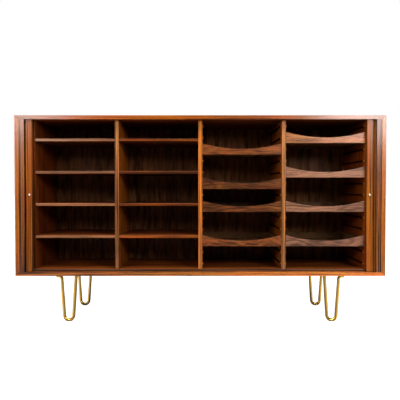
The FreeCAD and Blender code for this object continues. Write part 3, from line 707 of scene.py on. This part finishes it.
def slat_row(name, doors, places, bottom, top):
    """Slats at the given places, each with its own shade of wood, and painted shade at the seams between
    them.
    """
    work = bmesh.new()
    add_slat(work, doors, bottom, top)
    tone = work.verts.layers.float.new("tone")
    # painted shade, darkest at a slat's edges, for the shade in the seams
    for vert in work.verts:
        vert[tone] = -doors.painted_seam_shade * (2 * abs(vert.co.x) / doors.slat_width) ** SEAM_SHADE_POWER
    pattern = work.verts[:] + work.edges[:] + work.faces[:]
    draw = random.Random(name)
    for place in places:
        copy = verts_of(bmesh.ops.duplicate(work, geom=pattern)["geom"])
        bmesh.ops.transform(work, verts=copy, matrix=place)
        shade = draw.uniform(-doors.shade_spread, doors.shade_spread)
        for vert in copy:
            vert[tone] += shade
    bmesh.ops.delete(work, geom=verts_of(pattern), context="VERTS")
    return smooth_piece(name, work)


def tuck(piece, track, start, end):
    """Draws in a piece that is laid out for the closed door, so that it comes out when the door slides.

    Its normals stay those of the closed door.
    """
    normals = [tuple(corner.vector) for corner in piece.data.corner_normals]
    for vert in piece.data.vertices:
        wanted = abs(vert.co.x)
        near, far = 0.0, 1.0
        for _ in range(BISECTIONS):
            share = (near + far) / 2
            reach = start + (end - start) * share - track.travel * share ** 2 * (3 - 2 * share)
            if reach > wanted:
                near = share
            else:
                far = share
        vert.co.x = (start + (end - start) * near) * track.side
    layer = piece.data.attributes.new("custom_normal", "FLOAT_VECTOR", "CORNER")
    layer.data.foreach_set("vector", [number for normal in normals for number in normal])


def colour_setting(name, description, code):
    """A colour that a user may change, from its sRGB hex code."""
    return FloatVectorProperty(name=name, description=description, subtype="COLOR", default=linear(code))


def length_setting(name, description, length):
    """A length that a user may change, in metres."""
    return FloatProperty(name=name, description=description, default=length, unit="LENGTH")


def share_setting(name, description, share):
    """A share that a user may change."""
    return FloatProperty(name=name, description=description, default=share, min=0.0, max=1.0,
                         subtype="FACTOR")


def power_setting(name, description, watts):
    """A lamp's power that a user may change, in watts."""
    return FloatProperty(name=name, description=description, default=watts, unit="POWER")


def strength_setting(name, description, strength):
    """A strength that a user may change."""
    return FloatProperty(name=name, description=description, default=strength, min=0.0)


class CabinetFinishSettings(bpy.types.PropertyGroup):
    """Colours and gloss of the woods and metals."""

    vein: colour_setting("Vein", "Darkest streaks of the rosewood", "#1a0a04")
    case_ground: colour_setting("Sides", "Side boards and dividers", "#b86014")
    top_ground: colour_setting("Top edge", "Lipping of the top board", "#a24c02")
    bottom_ground: colour_setting("Bottom edge", "Lipping of the bottom board", "#d87828")
    floor_ground: colour_setting("Case inside", "Inner faces of the top and bottom", "#7c3c0e")
    post_ground: colour_setting("Posts", "Corner posts", "#96501c")
    stile_ground: colour_setting("Stiles", "Lead stiles of the doors", "#a05214")
    slat_ground: colour_setting("Slats", "Slats of the doors", "#a05a20")
    # paler than the middle divider's edge: partly painted sheen from the side lamps
    pale_divider: colour_setting("Pale divider edges", "Lipping of the outer dividers", "#cc7f44")
    warm_divider: colour_setting("Warm divider edge", "Lipping of the middle divider", "#cc7428")
    wall_ground: colour_setting("Walls", "Inner walls and the top's inner face", "#78340a")
    inner_wall_edge: colour_setting("Inner wall edges", "Front edges of the inner walls", "#552810")
    # grey-brown: painted sheen on the inner floor's front edge
    floor_edge: colour_setting("Inner floor edge", "Lipping of the inner floor", "#603e2a")
    # paler than the second bay's: partly painted sheen from the lamp at the left
    shelf_edge_pale: colour_setting("Pale shelf edges", "Lipping of the first bay's shelves", "#9a6038")
    shelf_edge_warm: colour_setting("Warm shelf edges", "Lipping of the second bay's shelves", "#96480e")
    shelf_ground: colour_setting("Shelves", "Faces of the shelves", "#74360f")
    back_ground: colour_setting("Back", "Inner back", "#774b2c")
    warm_front: colour_setting("Warm tray fronts", "Fronts of the third bay's trays", "#8a4a20")
    # greyer and paler: partly painted sheen from the lamp at the right
    pale_front: colour_setting("Pale tray fronts", "Fronts of the fourth bay's trays", "#9c684c")
    # lighter and more orange: partly painted highlight
    tan_front: colour_setting("Tan tray front", "Front of the fourth bay's highest tray", "#aa683c")
    box_ground: colour_setting("Tray boxes", "Sides and bottoms of the trays", "#74502f")
    # almost black: painted shade along the runner strips
    runner: colour_setting("Runners", "Runner strips", "#2a1206")
    clip: colour_setting("Clips", "Bronzed clips under the shelves", "#5a3c20")
    brass: colour_setting("Brass", "Legs and their plates", "#eabb5a")
    knob: colour_setting("Knob", "Door knobs", "#fff4e6")
    screw: colour_setting("Screws", "Screws of the leg plates", "#8f8a80")
    canvas: colour_setting("Canvas", "Backing of the doors", "#8a7558")
    ring_gap: length_setting("Ring gap", "Distance between growth lines", 9 * MM)
    wave: length_setting("Grain waves", "How far the grain strays", 60 * MM)
    gloss: share_setting("Gloss", "Roughness of the wood", 0.4)
    blush: share_setting("Blush", "How much the wood's hue varies in patches", 0.03)
    pore_share: share_setting("Pores", "How much of the vein's colour the pores take", 0.45)
    wood_shine: share_setting("Wood shine", "Reflection under the lacquer", 0.1)
    face_share: share_setting("Lacquer on faces", "Share of the lacquer that faces keep", 0.03)
    face_haze: share_setting("Haze on faces", "Roughness that faces have more than front edges", 0.25)
    lacquer: share_setting("Lacquer", "Strength of the clear coat", 0.8)
    lacquer_rough: share_setting("Lacquer roughness", "Roughness of the clear coat", 0.22)


class CabinetDoorSettings(bpy.types.PropertyGroup):
    """Slats, canvas, knobs and the way in which a curtain is tucked away."""

    slat_width: length_setting("Slat width", "Along the track", 14.4 * MM)
    slat_pitch: length_setting("Slat pitch", "Slat to slat", 15 * MM)
    slat_thickness: length_setting("Slat thickness", "Back to crest", 11 * MM)
    slat_crown: length_setting("Slat crown", "Crest above the slat's edges", 2 * MM)
    slat_count: IntProperty(name="Slats", description="On each door", default=58, min=1)
    # painted shade at the slats' edges, where the seams lie
    painted_seam_shade: share_setting("Seams", "How much darker the slats are at their edges", 0.3)
    shade_spread: share_setting("Shade spread", "How much the slats' shades differ", 0.05)
    first_gap: length_setting("First gap", "Stile to the first slat", 0.3 * MM)
    bend_radius: length_setting("Bend radius", "Canvas in the track's corners", 28.5 * MM)
    canvas_thickness: length_setting("Canvas thickness", "Backing of the slats", 1 * MM)
    glued_width: length_setting("Glued width", "Canvas on the back of the stile", 22 * MM)
    tuck_start: length_setting("Tuck start", "Outer edge of the tucked slats, from the stile's", 1.6 * MM)
    tuck_end: length_setting("Tuck end", "Inner edge of the tucked slats, from the stile's", 6 * MM)
    tuck_depth: length_setting("Tuck depth", "Tucked slats behind the stile's face", 0.2 * MM)
    knob_diameter: length_setting("Knob diameter", "Across the head", 11 * MM)
    knob_neck: length_setting("Knob neck", "Diameter of the neck", 6 * MM)
    knob_neck_length: length_setting("Knob neck length", "Stile to the head", 3.5 * MM)
    knob_rim: length_setting("Knob rim", "Rounding at the back of the head", 0.7 * MM)
    knob_dome: length_setting("Knob dome", "Height of the domed end", 2.4 * MM)


class CabinetLegSettings(bpy.types.PropertyGroup):
    """Rods, plates and screws of the hairpin legs."""

    rod: length_setting("Rod", "Diameter", 16 * MM)
    top_spread: length_setting("Top spread", "Between the rods at the top", 72 * MM)
    foot_radius: length_setting("Foot radius", "Bend at the foot", 23 * MM)
    flare_radius: length_setting("Flare radius", "Bend of the outer rod at the top", 14 * MM)
    flare_reach: length_setting("Flare reach", "Length of the outer rod under its plate", 26 * MM)
    plate_overhang: length_setting("Plate overhang", "Plate past the rods", 16 * MM)
    weld: length_setting("Weld", "Radius of the weld beads", 1.4 * MM)
    screw_radius: length_setting("Screw radius", "Heads under the plates", 4 * MM)
    screw_height: length_setting("Screw height", "Heads under the plates", 2.2 * MM)
    screw_inset: length_setting("Screw inset", "From the ends of a plate", 9 * MM)
    screw_gap: length_setting("Screw gap", "Between the two rows", 28 * MM)


class CabinetStudioSettings(bpy.types.PropertyGroup):
    """Camera, lamps and floor."""

    focal_pixels: strength_setting("Focal length", "In pixels of the square frame", 504.9)
    camera_distance: length_setting("Camera distance", "From the front of the case", 2.448)
    camera_height: length_setting("Camera height", "Above the floor", 0.66)
    camera_pitch: FloatProperty(name="Camera pitch", description="How far it looks down",
                                default=math.radians(1.167), unit="ROTATION")
    camera_side: length_setting("Camera side", "To the right of the middle", -1.4 * MM)
    left_lamp: power_setting("Left lamp", "Power of the softbox at the left", 24.0)
    right_lamp: power_setting("Right lamp", "Power of the softbox at the right", 52.0)
    top_lamp: power_setting("Top lamp", "Power of the softbox overhead", 200.0)
    card_lamp: power_setting("Floor cards", "Power of each lit card on the floor", 7.5)
    room: strength_setting("Room", "Light from the room in front", 0.03)
    window: strength_setting("Window", "Light from the left", 1.0)
    floor_glow: strength_setting("Floor glow", "Whitens the paper floor", 1.0)
    backdrop: strength_setting("Backdrop", "Light from the backdrop", 0.35)


class CABINET_OT_case(bpy.types.Operator):
    """Veneers the case: panels, posts, walls, dividers and backs"""

    bl_idname = "cabinet.case"
    bl_label = "Veneer the case"

    def execute(self, context):
        for board in ("top", "bottom"):
            eased_copy(f"case_{board}", f"rosewood_{board}", BOARD_EASE, flatten=False)
        for side in SIDES:
            eased_copy(f"case_side_{side}", "rosewood_case_upright", BOARD_EASE)
            eased_copy(f"corner_post_{side}", f"rosewood_post_{side}", BOARD_EASE)
            eased_copy(f"inner_wall_{side}", "rosewood_inner_wall", BOARD_EASE)
        # the outer dividers take the paler edges, which are partly painted sheen
        for number, shade in enumerate(("pale", "warm", "pale"), start=1):
            eased_copy(f"divider_{number}", f"rosewood_divider_{shade}", BOARD_EASE)
        eased_copy("inner_floor", "rosewood_inner_floor", BOARD_EASE)
        eased_copy("inner_back", "rosewood_back", SHEET_EASE)
        eased_copy("outer_back", "rosewood_post_left", SHEET_EASE)
        return {"FINISHED"}


class CABINET_OT_shelves(bpy.types.Operator):
    """Fits the loose shelves on their bronzed clips"""

    bl_idname = "cabinet.shelves"
    bl_label = "Fit the shelves"

    def execute(self, context):
        for bay in BAYS["shelf"]:
            for number in range(1, PER_BAY + 1):
                eased_copy(f"shelf_{bay}_{number}", f"rosewood_shelf_{bay}", SHELF_EASE)
        eased_copy("shelf_clips", "bronzed_clip", CLIP_EASE)
        return {"FINISHED"}


class CABINET_OT_trays(bpy.types.Operator):
    """Fits the trays and the runner strips that carry them"""

    bl_idname = "cabinet.trays"
    bl_label = "Fit the trays"

    def execute(self, context):
        for bay in BAYS["tray"]:
            for side in SIDES:
                eased_copy(f"runners_{bay}_{side}", "dark_stained_beech", SHEET_EASE)
            for number in range(1, PER_BAY + 1):
                veneer = TOP_TRAY_VENEER if (bay, number) == TOP_TRAY else f"rosewood_front_{bay}"
                eased_copy(f"tray_front_{bay}_{number}", veneer, BOARD_EASE)
                eased_copy(f"tray_box_{bay}_{number}", "mahogany_tray_box", SHEET_EASE)
        return {"FINISHED"}


def front_curtain(name, doors, track):
    """The part of a door that shows when it is closed: slats and canvas that are tucked into the stile."""
    slats = f"door_slats_{name}"
    canvas = f"door_canvas_{name}"
    start = track.stile_end - doors.tuck_start
    end = track.stile_end - doors.tuck_end
    closed_end = track.stile_end - track.travel + doors.first_gap
    length = start - closed_end
    count = round(length / doors.slat_pitch)
    pitch = length / count
    places = [track.point(closed_end + pitch * (number + 0.5)) for number in range(count)]
    row = slat_row(f"slats_front_{name}", doors, places, low(slats).z, high(slats).z)
    row.data.transform(Matrix.Translation((0, doors.tuck_depth, 0)))
    sheet = flat_canvas(f"canvas_front_{name}", track, doors, closed_end - doors.first_gap, start, canvas)
    for piece, slot, surface, node in ((row, "slat_rosewood", "rosewood_slat", slats),
                                       (sheet, "door_canvas", "linen_duck", canvas)):
        tuck(piece, track, start, end)
        piece.data.materials.append(finish(surface))
        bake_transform(piece)
        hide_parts(node)


def flat_canvas(name, track, doors, near, far, node):
    """A straight stretch of canvas along the front, thinner than the glued one so that they don't touch."""
    work = bmesh.new()
    inset = doors.canvas_thickness * CANVAS_INSET_SHARE
    add_box(work, (near * track.side, track.front + inset, low(node).z),
            (far * track.side, track.front + doors.canvas_thickness - inset, high(node).z))
    return smooth_piece(name, work)


def stored_canvas(name, doors, track):
    """The canvas round the corner of the track, from the front bend to its end behind the inner back."""
    node = f"door_canvas_{name}"
    work = bmesh.new()
    rear_end = doors.first_gap + doors.slat_pitch * doors.slat_count + track.stile_end
    rear_end -= track.straight + track.radius * math.pi + track.depth
    bottom = low(node).z
    first = bmesh.ops.create_vert(work, co=(track.straight * track.side, track.front, bottom))["vert"]
    inner = bmesh.ops.extrude_vert_indiv(work, verts=first)
    bmesh.ops.translate(work, verts=inner["verts"], vec=(0, doors.canvas_thickness, 0))
    end = inner["edges"]
    for y, run in ((track.front + track.radius, (0, track.depth, 0)),
                   (track.rear - track.radius, (-rear_end * track.side, 0, 0))):
        swept = bmesh.ops.spin(work, geom=end, cent=track.bend_centre(y, bottom), axis=(0, 0, 1),
                               angle=track.side * math.pi / 2, steps=BEND_STEPS)
        end = extrude_edges(work, edges_of(swept["geom_last"]), run)
    made = bmesh.ops.extrude_face_region(work, geom=work.faces[:])["geom"]
    bmesh.ops.translate(work, verts=verts_of(made), vec=(0, 0, high(node).z - bottom))
    piece = smooth_piece(f"canvas_stored_{name}", work)
    fit_out(piece, "cabinet", "linen_duck")
    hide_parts(node)


def glued_canvas(name, doors, track):
    """The edge of the canvas that is glued to the back of the stile."""
    node = f"door_canvas_{name}"
    work = bmesh.new()
    near = track.stile_end - doors.glued_width
    add_box(work, (near * track.side, track.front, low(node).z),
            (track.stile_end * track.side, track.front + doors.canvas_thickness, high(node).z))
    piece = smooth_piece(f"canvas_glued_{name}", work)
    fit_out(piece, f"door_{name}", "linen_duck")
    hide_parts(node)


def turned_knob(name, doors):
    """The small turned knob: spigot, neck, and a head with a rounded rim and a domed end."""
    node = f"door_knob_{name}"
    face = low(f"lead_stile_{name}").y
    middle = (low(node) + high(node)) / 2
    tip = low(node).y
    neck = doors.knob_neck / 2
    head = doors.knob_diameter / 2
    rim = face - doors.knob_neck_length
    profile = [
        (neck, high(node).y),
        (neck, rim),
        (head * KNOB_WAIST_SHARE, rim - doors.knob_rim),
        (head, rim - doors.knob_rim * 2),
        (head, tip + doors.knob_dome),
        (head * KNOB_LIP_SHARE, tip + doors.knob_dome * KNOB_DOME_SHARE),
        (head * KNOB_CROWN_SHARE, tip),
        (0.0, tip),
    ]
    work = bmesh.new()
    points = [work.verts.new((middle.x + radius, y, middle.z)) for radius, y in profile]
    lines = [work.edges.new(pair) for pair in zip(points, points[1:])]
    bmesh.ops.spin(work, geom=points + lines, cent=middle, axis=(0, 1, 0), angle=math.tau, steps=KNOB_STEPS,
                   use_merge=True)
    bmesh.ops.remove_doubles(work, verts=work.verts, dist=KNOB_MERGE_GAP)
    piece = smooth_piece(f"knob_{name}", work, KNOB_SHARP_ANGLE)
    fit_out(piece, f"door_{name}", "knob_nickel")
    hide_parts(node)


class CABINET_OT_doors(bpy.types.Operator):
    """Hangs the two tambour doors: stiles, slats, canvas and knobs"""

    bl_idname = "cabinet.doors"
    bl_label = "Hang the doors"

    def execute(self, context):
        doors = context.scene.cabinet_doors
        for name in SIDES:
            track = Track(name)
            eased_copy(f"lead_stile_{name}", "rosewood_stile", STILE_EASE)
            turned_knob(name, doors)
            first = track.stile_end + doors.first_gap + doors.slat_pitch / 2
            places = [track.point(first + doors.slat_pitch * number) for number in range(doors.slat_count)]
            slats = f"door_slats_{name}"
            row = slat_row(f"slats_stored_{name}", doors, places, low(slats).z, high(slats).z)
            fit_out(row, "cabinet", "rosewood_slat")
            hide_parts(slats)
            stored_canvas(name, doors, track)
            glued_canvas(name, doors, track)
            front_curtain(name, doors, track)
        return {"FINISHED"}


def add_hairpin(work, legs, top):
    """Adds a bent rod under the height top: right-hand leg, its middle at X 0 and Y 0, its foot on Z 0."""
    rod = legs.rod / 2
    half = legs.top_spread / 2
    foot = legs.foot_radius
    flare = legs.flare_radius
    # the flare runs level at this height; the rods lean outwards so that they touch the bend of the foot
    run = top - rod
    centre = Vector((0, 0, rod + foot))
    rise = run - centre.z
    lean = math.atan2(half, rise) - math.asin(foot / math.hypot(half, rise))
    leave = centre + Vector((math.cos(lean), 0, -math.sin(lean))) * foot
    upward = Vector((math.sin(lean), 0, math.cos(lean)))
    # the bend at the top takes the same length off the outer rod and off its flare
    corner = leave + upward * ((run - leave.z) / upward.z)
    cut = flare * math.tan((math.pi / 2 - lean) / 2)
    # the sweep starts above the plate on the inner rod, and is cut off level at the end
    down = Vector((upward.x, 0, -upward.z))
    inner_foot = Vector((-leave.x, 0, leave.z))
    inner_length = (top + legs.rod - leave.z) / upward.z
    place = Matrix.Translation(inner_foot - down * inner_length)
    place = place @ Vector((0, 0, 1)).rotation_difference(down).to_matrix().to_4x4()
    ring = bmesh.ops.create_circle(work, segments=ROD_SEGMENTS, radius=rod, matrix=place)["verts"]
    edges = list({edge for vert in ring for edge in vert.link_edges})
    edges = extrude_edges(work, edges, down * inner_length)
    swept = bmesh.ops.spin(work, geom=edges, cent=centre, axis=(0, 1, 0), angle=2 * lean - math.pi,
                           steps=FOOT_STEPS)
    edges = extrude_edges(work, edges_of(swept["geom_last"]), upward * ((corner - leave).length - cut))
    swept = bmesh.ops.spin(work, geom=edges, cent=corner + Vector((cut, 0, -flare)), axis=(0, 1, 0),
                           angle=math.pi / 2 - lean, steps=FLARE_STEPS)
    straight = half + legs.flare_reach - corner.x - cut
    edges = extrude_edges(work, edges_of(swept["geom_last"]), (straight, 0, 0))
    bmesh.ops.contextual_create(work, geom=edges)
    geom = work.verts[:] + work.edges[:] + work.faces[:]
    trimmed = bmesh.ops.bisect_plane(work, geom=geom, plane_co=(0, 0, top), plane_no=(0, 0, 1),
                                     clear_outer=True)
    rims = [item for item in edges_of(trimmed["geom_cut"]) if item.is_valid and item.is_boundary]
    bmesh.ops.contextual_create(work, geom=rims)
    return corner.x + cut


def add_welds(work, legs, top, flare_end):
    """Adds the weld beads where the rods meet their plate."""
    bead = legs.weld
    inner = Matrix.Translation((-legs.top_spread / 2, 0, top - bead))
    bmesh.ops.create_cone(work, cap_ends=True, segments=ROD_SEGMENTS, radius1=legs.rod / 2,
                          radius2=legs.rod / 2 + bead, depth=bead * 2, matrix=inner)
    reach = legs.top_spread / 2 + legs.flare_reach
    for hand in (-1, 1):
        middle = ((flare_end + reach) / 2, hand * legs.rod * BEAD_OFFSET_SHARE, top - bead)
        place = Matrix.Translation(middle) @ Matrix.Rotation(math.pi / 2, 4, "Y")
        bmesh.ops.create_cone(work, cap_ends=True, segments=BEAD_SEGMENTS, radius1=bead, radius2=bead,
                              depth=reach - flare_end - bead * 2, matrix=place)


def hairpin_leg(name, node, legs, place, top):
    """One leg with its weld beads, moved to its place under the case."""
    work = bmesh.new()
    flare_end = add_hairpin(work, legs, top)
    add_welds(work, legs, top, flare_end)
    bmesh.ops.transform(work, verts=work.verts, matrix=place)
    rod = smooth_piece(name, work)
    fit_out(rod, "cabinet", "brass_rod")
    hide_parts(node)


def add_plate_screws(work, legs, ends, y, top):
    """Adds the heads of a plate's four screws, two at each end."""
    for x in ends:
        for hand in (-1, 1):
            spot = Matrix.Translation((x, y + hand * legs.screw_gap / 2, top))
            downwards = spot @ Matrix.Rotation(math.pi, 4, "X")
            add_screw_head(work, downwards, legs.screw_radius, legs.screw_height)


class CABINET_OT_legs(bpy.types.Operator):
    """Stands the case on its hairpin legs: rods, welds, plates and their screws"""

    bl_idname = "cabinet.legs"
    bl_label = "Stand the legs"

    def execute(self, context):
        legs = context.scene.cabinet_legs
        top = low("leg_plates").z
        outer = high("leg_plates").x
        middle = outer - legs.top_spread / 2 - legs.flare_reach - legs.plate_overhang
        inner = 2 * middle - outer + legs.flare_reach
        screws = bmesh.new()
        for row in ("front", "rear"):
            for name, side in SIDES.items():
                node = f"leg_{row}_{name}"
                y = (low(node).y + high(node).y) / 2
                turn = Matrix.Rotation((1 - side) * math.pi / 2, 4, "Z")
                place = Matrix.Translation((middle * side, y, 0)) @ turn
                hairpin_leg(f"hairpin_{row}_{name}", node, legs, place, top)
                ends = [(inner + legs.screw_inset) * side, (outer - legs.screw_inset) * side]
                add_plate_screws(screws, legs, ends, y, top)
        eased_copy("leg_plates", "brass_sheet", SHEET_EASE)
        heads = smooth_piece("plate_screws", screws)
        fit_out(heads, "cabinet", "screw_steel")
        return {"FINISHED"}


# softbox: its place, its target, its width and its height, in metres
SOFTBOXES = {
    "left": ((-1.8, FRONT - 2.6, 1.6), (0, FRONT, 0.7), 0.9, 0.7),
    "right": ((1.75, FRONT - 2.6, 1.6), (0, FRONT, 0.7), 1.1, 0.8),
    "top": ((0, FRONT - 1.9, 4.2), (0, FRONT, 0.6), 4.0, 1.6),
}
# the lit cards lie on the floor before the case and face upwards
CARD_REACH = 1.6
CARD_GAP = 0.2
CARD_LIFT = 2 * MM
CARD_SIZE = 1.8
FLOOR_SIZE = 60.0
PAPER_GREY = 0.25
PAPER_WHITE = 0.9
# how far backwards a direction points where the backdrop begins, and how far to the left for the window
BACKDROP_EDGE = {"From Min": -0.1, "From Max": 0.5}
WINDOW_EDGE = {"From Min": -0.6, "From Max": -0.8}


def lamp(name, place, target, width, height, power):
    """A softbox that faces its target."""
    light = bpy.data.lights.new(name, "AREA")
    light.shape = "RECTANGLE"
    light.size, light.size_y = width, height
    light.energy = power
    item = bpy.data.objects.new(name, light)
    bpy.context.scene.collection.objects.link(item)
    item.location = place
    item.rotation_euler = (Vector(target) - Vector(place)).to_track_quat("-Z", "Y").to_euler()


def split_by_ray(tree, thrown, seen, output):
    """Gives an output one shader for the camera, and another for the light that it throws."""
    ray = add_node(tree, "ShaderNodeLightPath").outputs["Is Camera Ray"]
    mixed = add_node(tree, "ShaderNodeMixShader", links={0: ray, 1: thrown, 2: seen})
    add_node(tree, output, links={"Surface": mixed})


def studio_floor(glow):
    """White paper: for the camera as bright as the backdrop, for the light that it throws back a mid grey."""
    material = bpy.data.materials.new("white_paper")
    tree = new_tree(material)
    grey, white = (add_node(tree, "ShaderNodeBsdfDiffuse", {"Color": opaque([level] * 3)})
                   for level in (PAPER_GREY, PAPER_WHITE))
    extra = add_node(tree, "ShaderNodeEmission", {"Color": opaque((1, 1, 1)), "Strength": glow})
    bright = add_node(tree, "ShaderNodeAddShader", links={0: white, 1: extra})
    split_by_ray(tree, grey, bright, "ShaderNodeOutputMaterial")
    return material


def studio_world(room, window, backdrop):
    """White for the camera. Its light comes from a window at the left, a backdrop and a dim room in front."""
    world = bpy.data.worlds.new("studio")
    tree = new_tree(world)
    way = add_node(tree, "ShaderNodeTexCoord").outputs["Generated"]
    axes = add_node(tree, "ShaderNodeSeparateXYZ", links={0: way}).outputs
    behind = add_node(tree, "ShaderNodeMapRange", {**BACKDROP_EDGE, "To Min": room, "To Max": backdrop},
                      {"Value": axes["Y"]})
    beside = add_node(tree, "ShaderNodeMapRange", {**WINDOW_EDGE, "To Max": window}, {"Value": axes["X"]})
    lit = add_node(tree, "ShaderNodeBackground", links={"Strength": add_up(tree, behind, beside)})
    seen = add_node(tree, "ShaderNodeBackground", {"Color": opaque((1, 1, 1)), "Strength": 1.0})
    split_by_ray(tree, lit, seen, "ShaderNodeOutputWorld")
    bpy.context.scene.world = world


class CABINET_OT_studio(bpy.types.Operator):
    """Makes the floor, the lamps and the camera"""

    bl_idname = "cabinet.studio"
    bl_label = "Set up the studio"

    def execute(self, context):
        studio = context.scene.cabinet_studio
        work = bmesh.new()
        bmesh.ops.create_grid(work, x_segments=1, y_segments=1, size=FLOOR_SIZE)
        floor = mesh_object("floor", work)
        floor.data.materials.append(studio_floor(studio.floor_glow))
        for name, box in SOFTBOXES.items():
            lamp(f"softbox_{name}", *box, getattr(studio, f"{name}_lamp"))
        for name, side in SIDES.items():
            x, y = CARD_REACH * side, FRONT - CARD_GAP
            lamp(f"floor_card_{name}", (x, y, CARD_LIFT), (x, y, 1), CARD_SIZE, CARD_SIZE, studio.card_lamp)
        studio_world(studio.room, studio.window, studio.backdrop)
        camera = bpy.data.objects.new("camera", bpy.data.cameras.new("camera"))
        context.scene.collection.objects.link(camera)
        camera.data.sensor_width = SENSOR
        camera.data.lens = studio.focal_pixels * SENSOR / FRAME_PIXELS
        camera.location = (studio.camera_side, FRONT - studio.camera_distance, studio.camera_height)
        camera.rotation_euler = (math.pi / 2 - studio.camera_pitch, 0, 0)
        context.scene.camera = camera
        context.scene.view_settings.view_transform = "Standard"
        return {"FINISHED"}


OPERATORS = (CABINET_OT_case, CABINET_OT_shelves, CABINET_OT_trays, CABINET_OT_doors, CABINET_OT_legs,
             CABINET_OT_studio)


class CABINET_PT_panel(bpy.types.Panel):
    """Lists the steps that finish the cabinet"""

    bl_idname = "CABINET_PT_panel"
    bl_label = "Tambour cabinet"
    bl_space_type = "VIEW_3D"
    bl_region_type = "UI"
    bl_category = "Cabinet"

    def draw(self, context):
        for operator in OPERATORS:
            self.layout.operator(operator.bl_idname)
        for group in (getattr(context.scene, name) for name in SETTINGS):
            for name in group.bl_rna.properties.keys():
                if name not in ("rna_type", "name"):
                    self.layout.prop(group, name)


SETTINGS = {
    "cabinet_finish": CabinetFinishSettings,
    "cabinet_doors": CabinetDoorSettings,
    "cabinet_legs": CabinetLegSettings,
    "cabinet_studio": CabinetStudioSettings,
}
CLASSES = (*SETTINGS.values(), *OPERATORS, CABINET_PT_panel)


def register():
    for item in CLASSES:
        bpy.utils.register_class(item)
    for name, group in SETTINGS.items():
        setattr(bpy.types.Scene, name, PointerProperty(type=group))


def unregister():
    for name in reversed(SETTINGS):
        delattr(bpy.types.Scene, name)
    for item in reversed(CLASSES):
        bpy.utils.unregister_class(item)


def main():
    register()
    bpy.ops.cabinet.case()
    bpy.ops.cabinet.shelves()
    bpy.ops.cabinet.trays()
    bpy.ops.cabinet.doors()
    bpy.ops.cabinet.legs()
    bpy.ops.cabinet.studio()


if __name__ == "__main__":
    main()
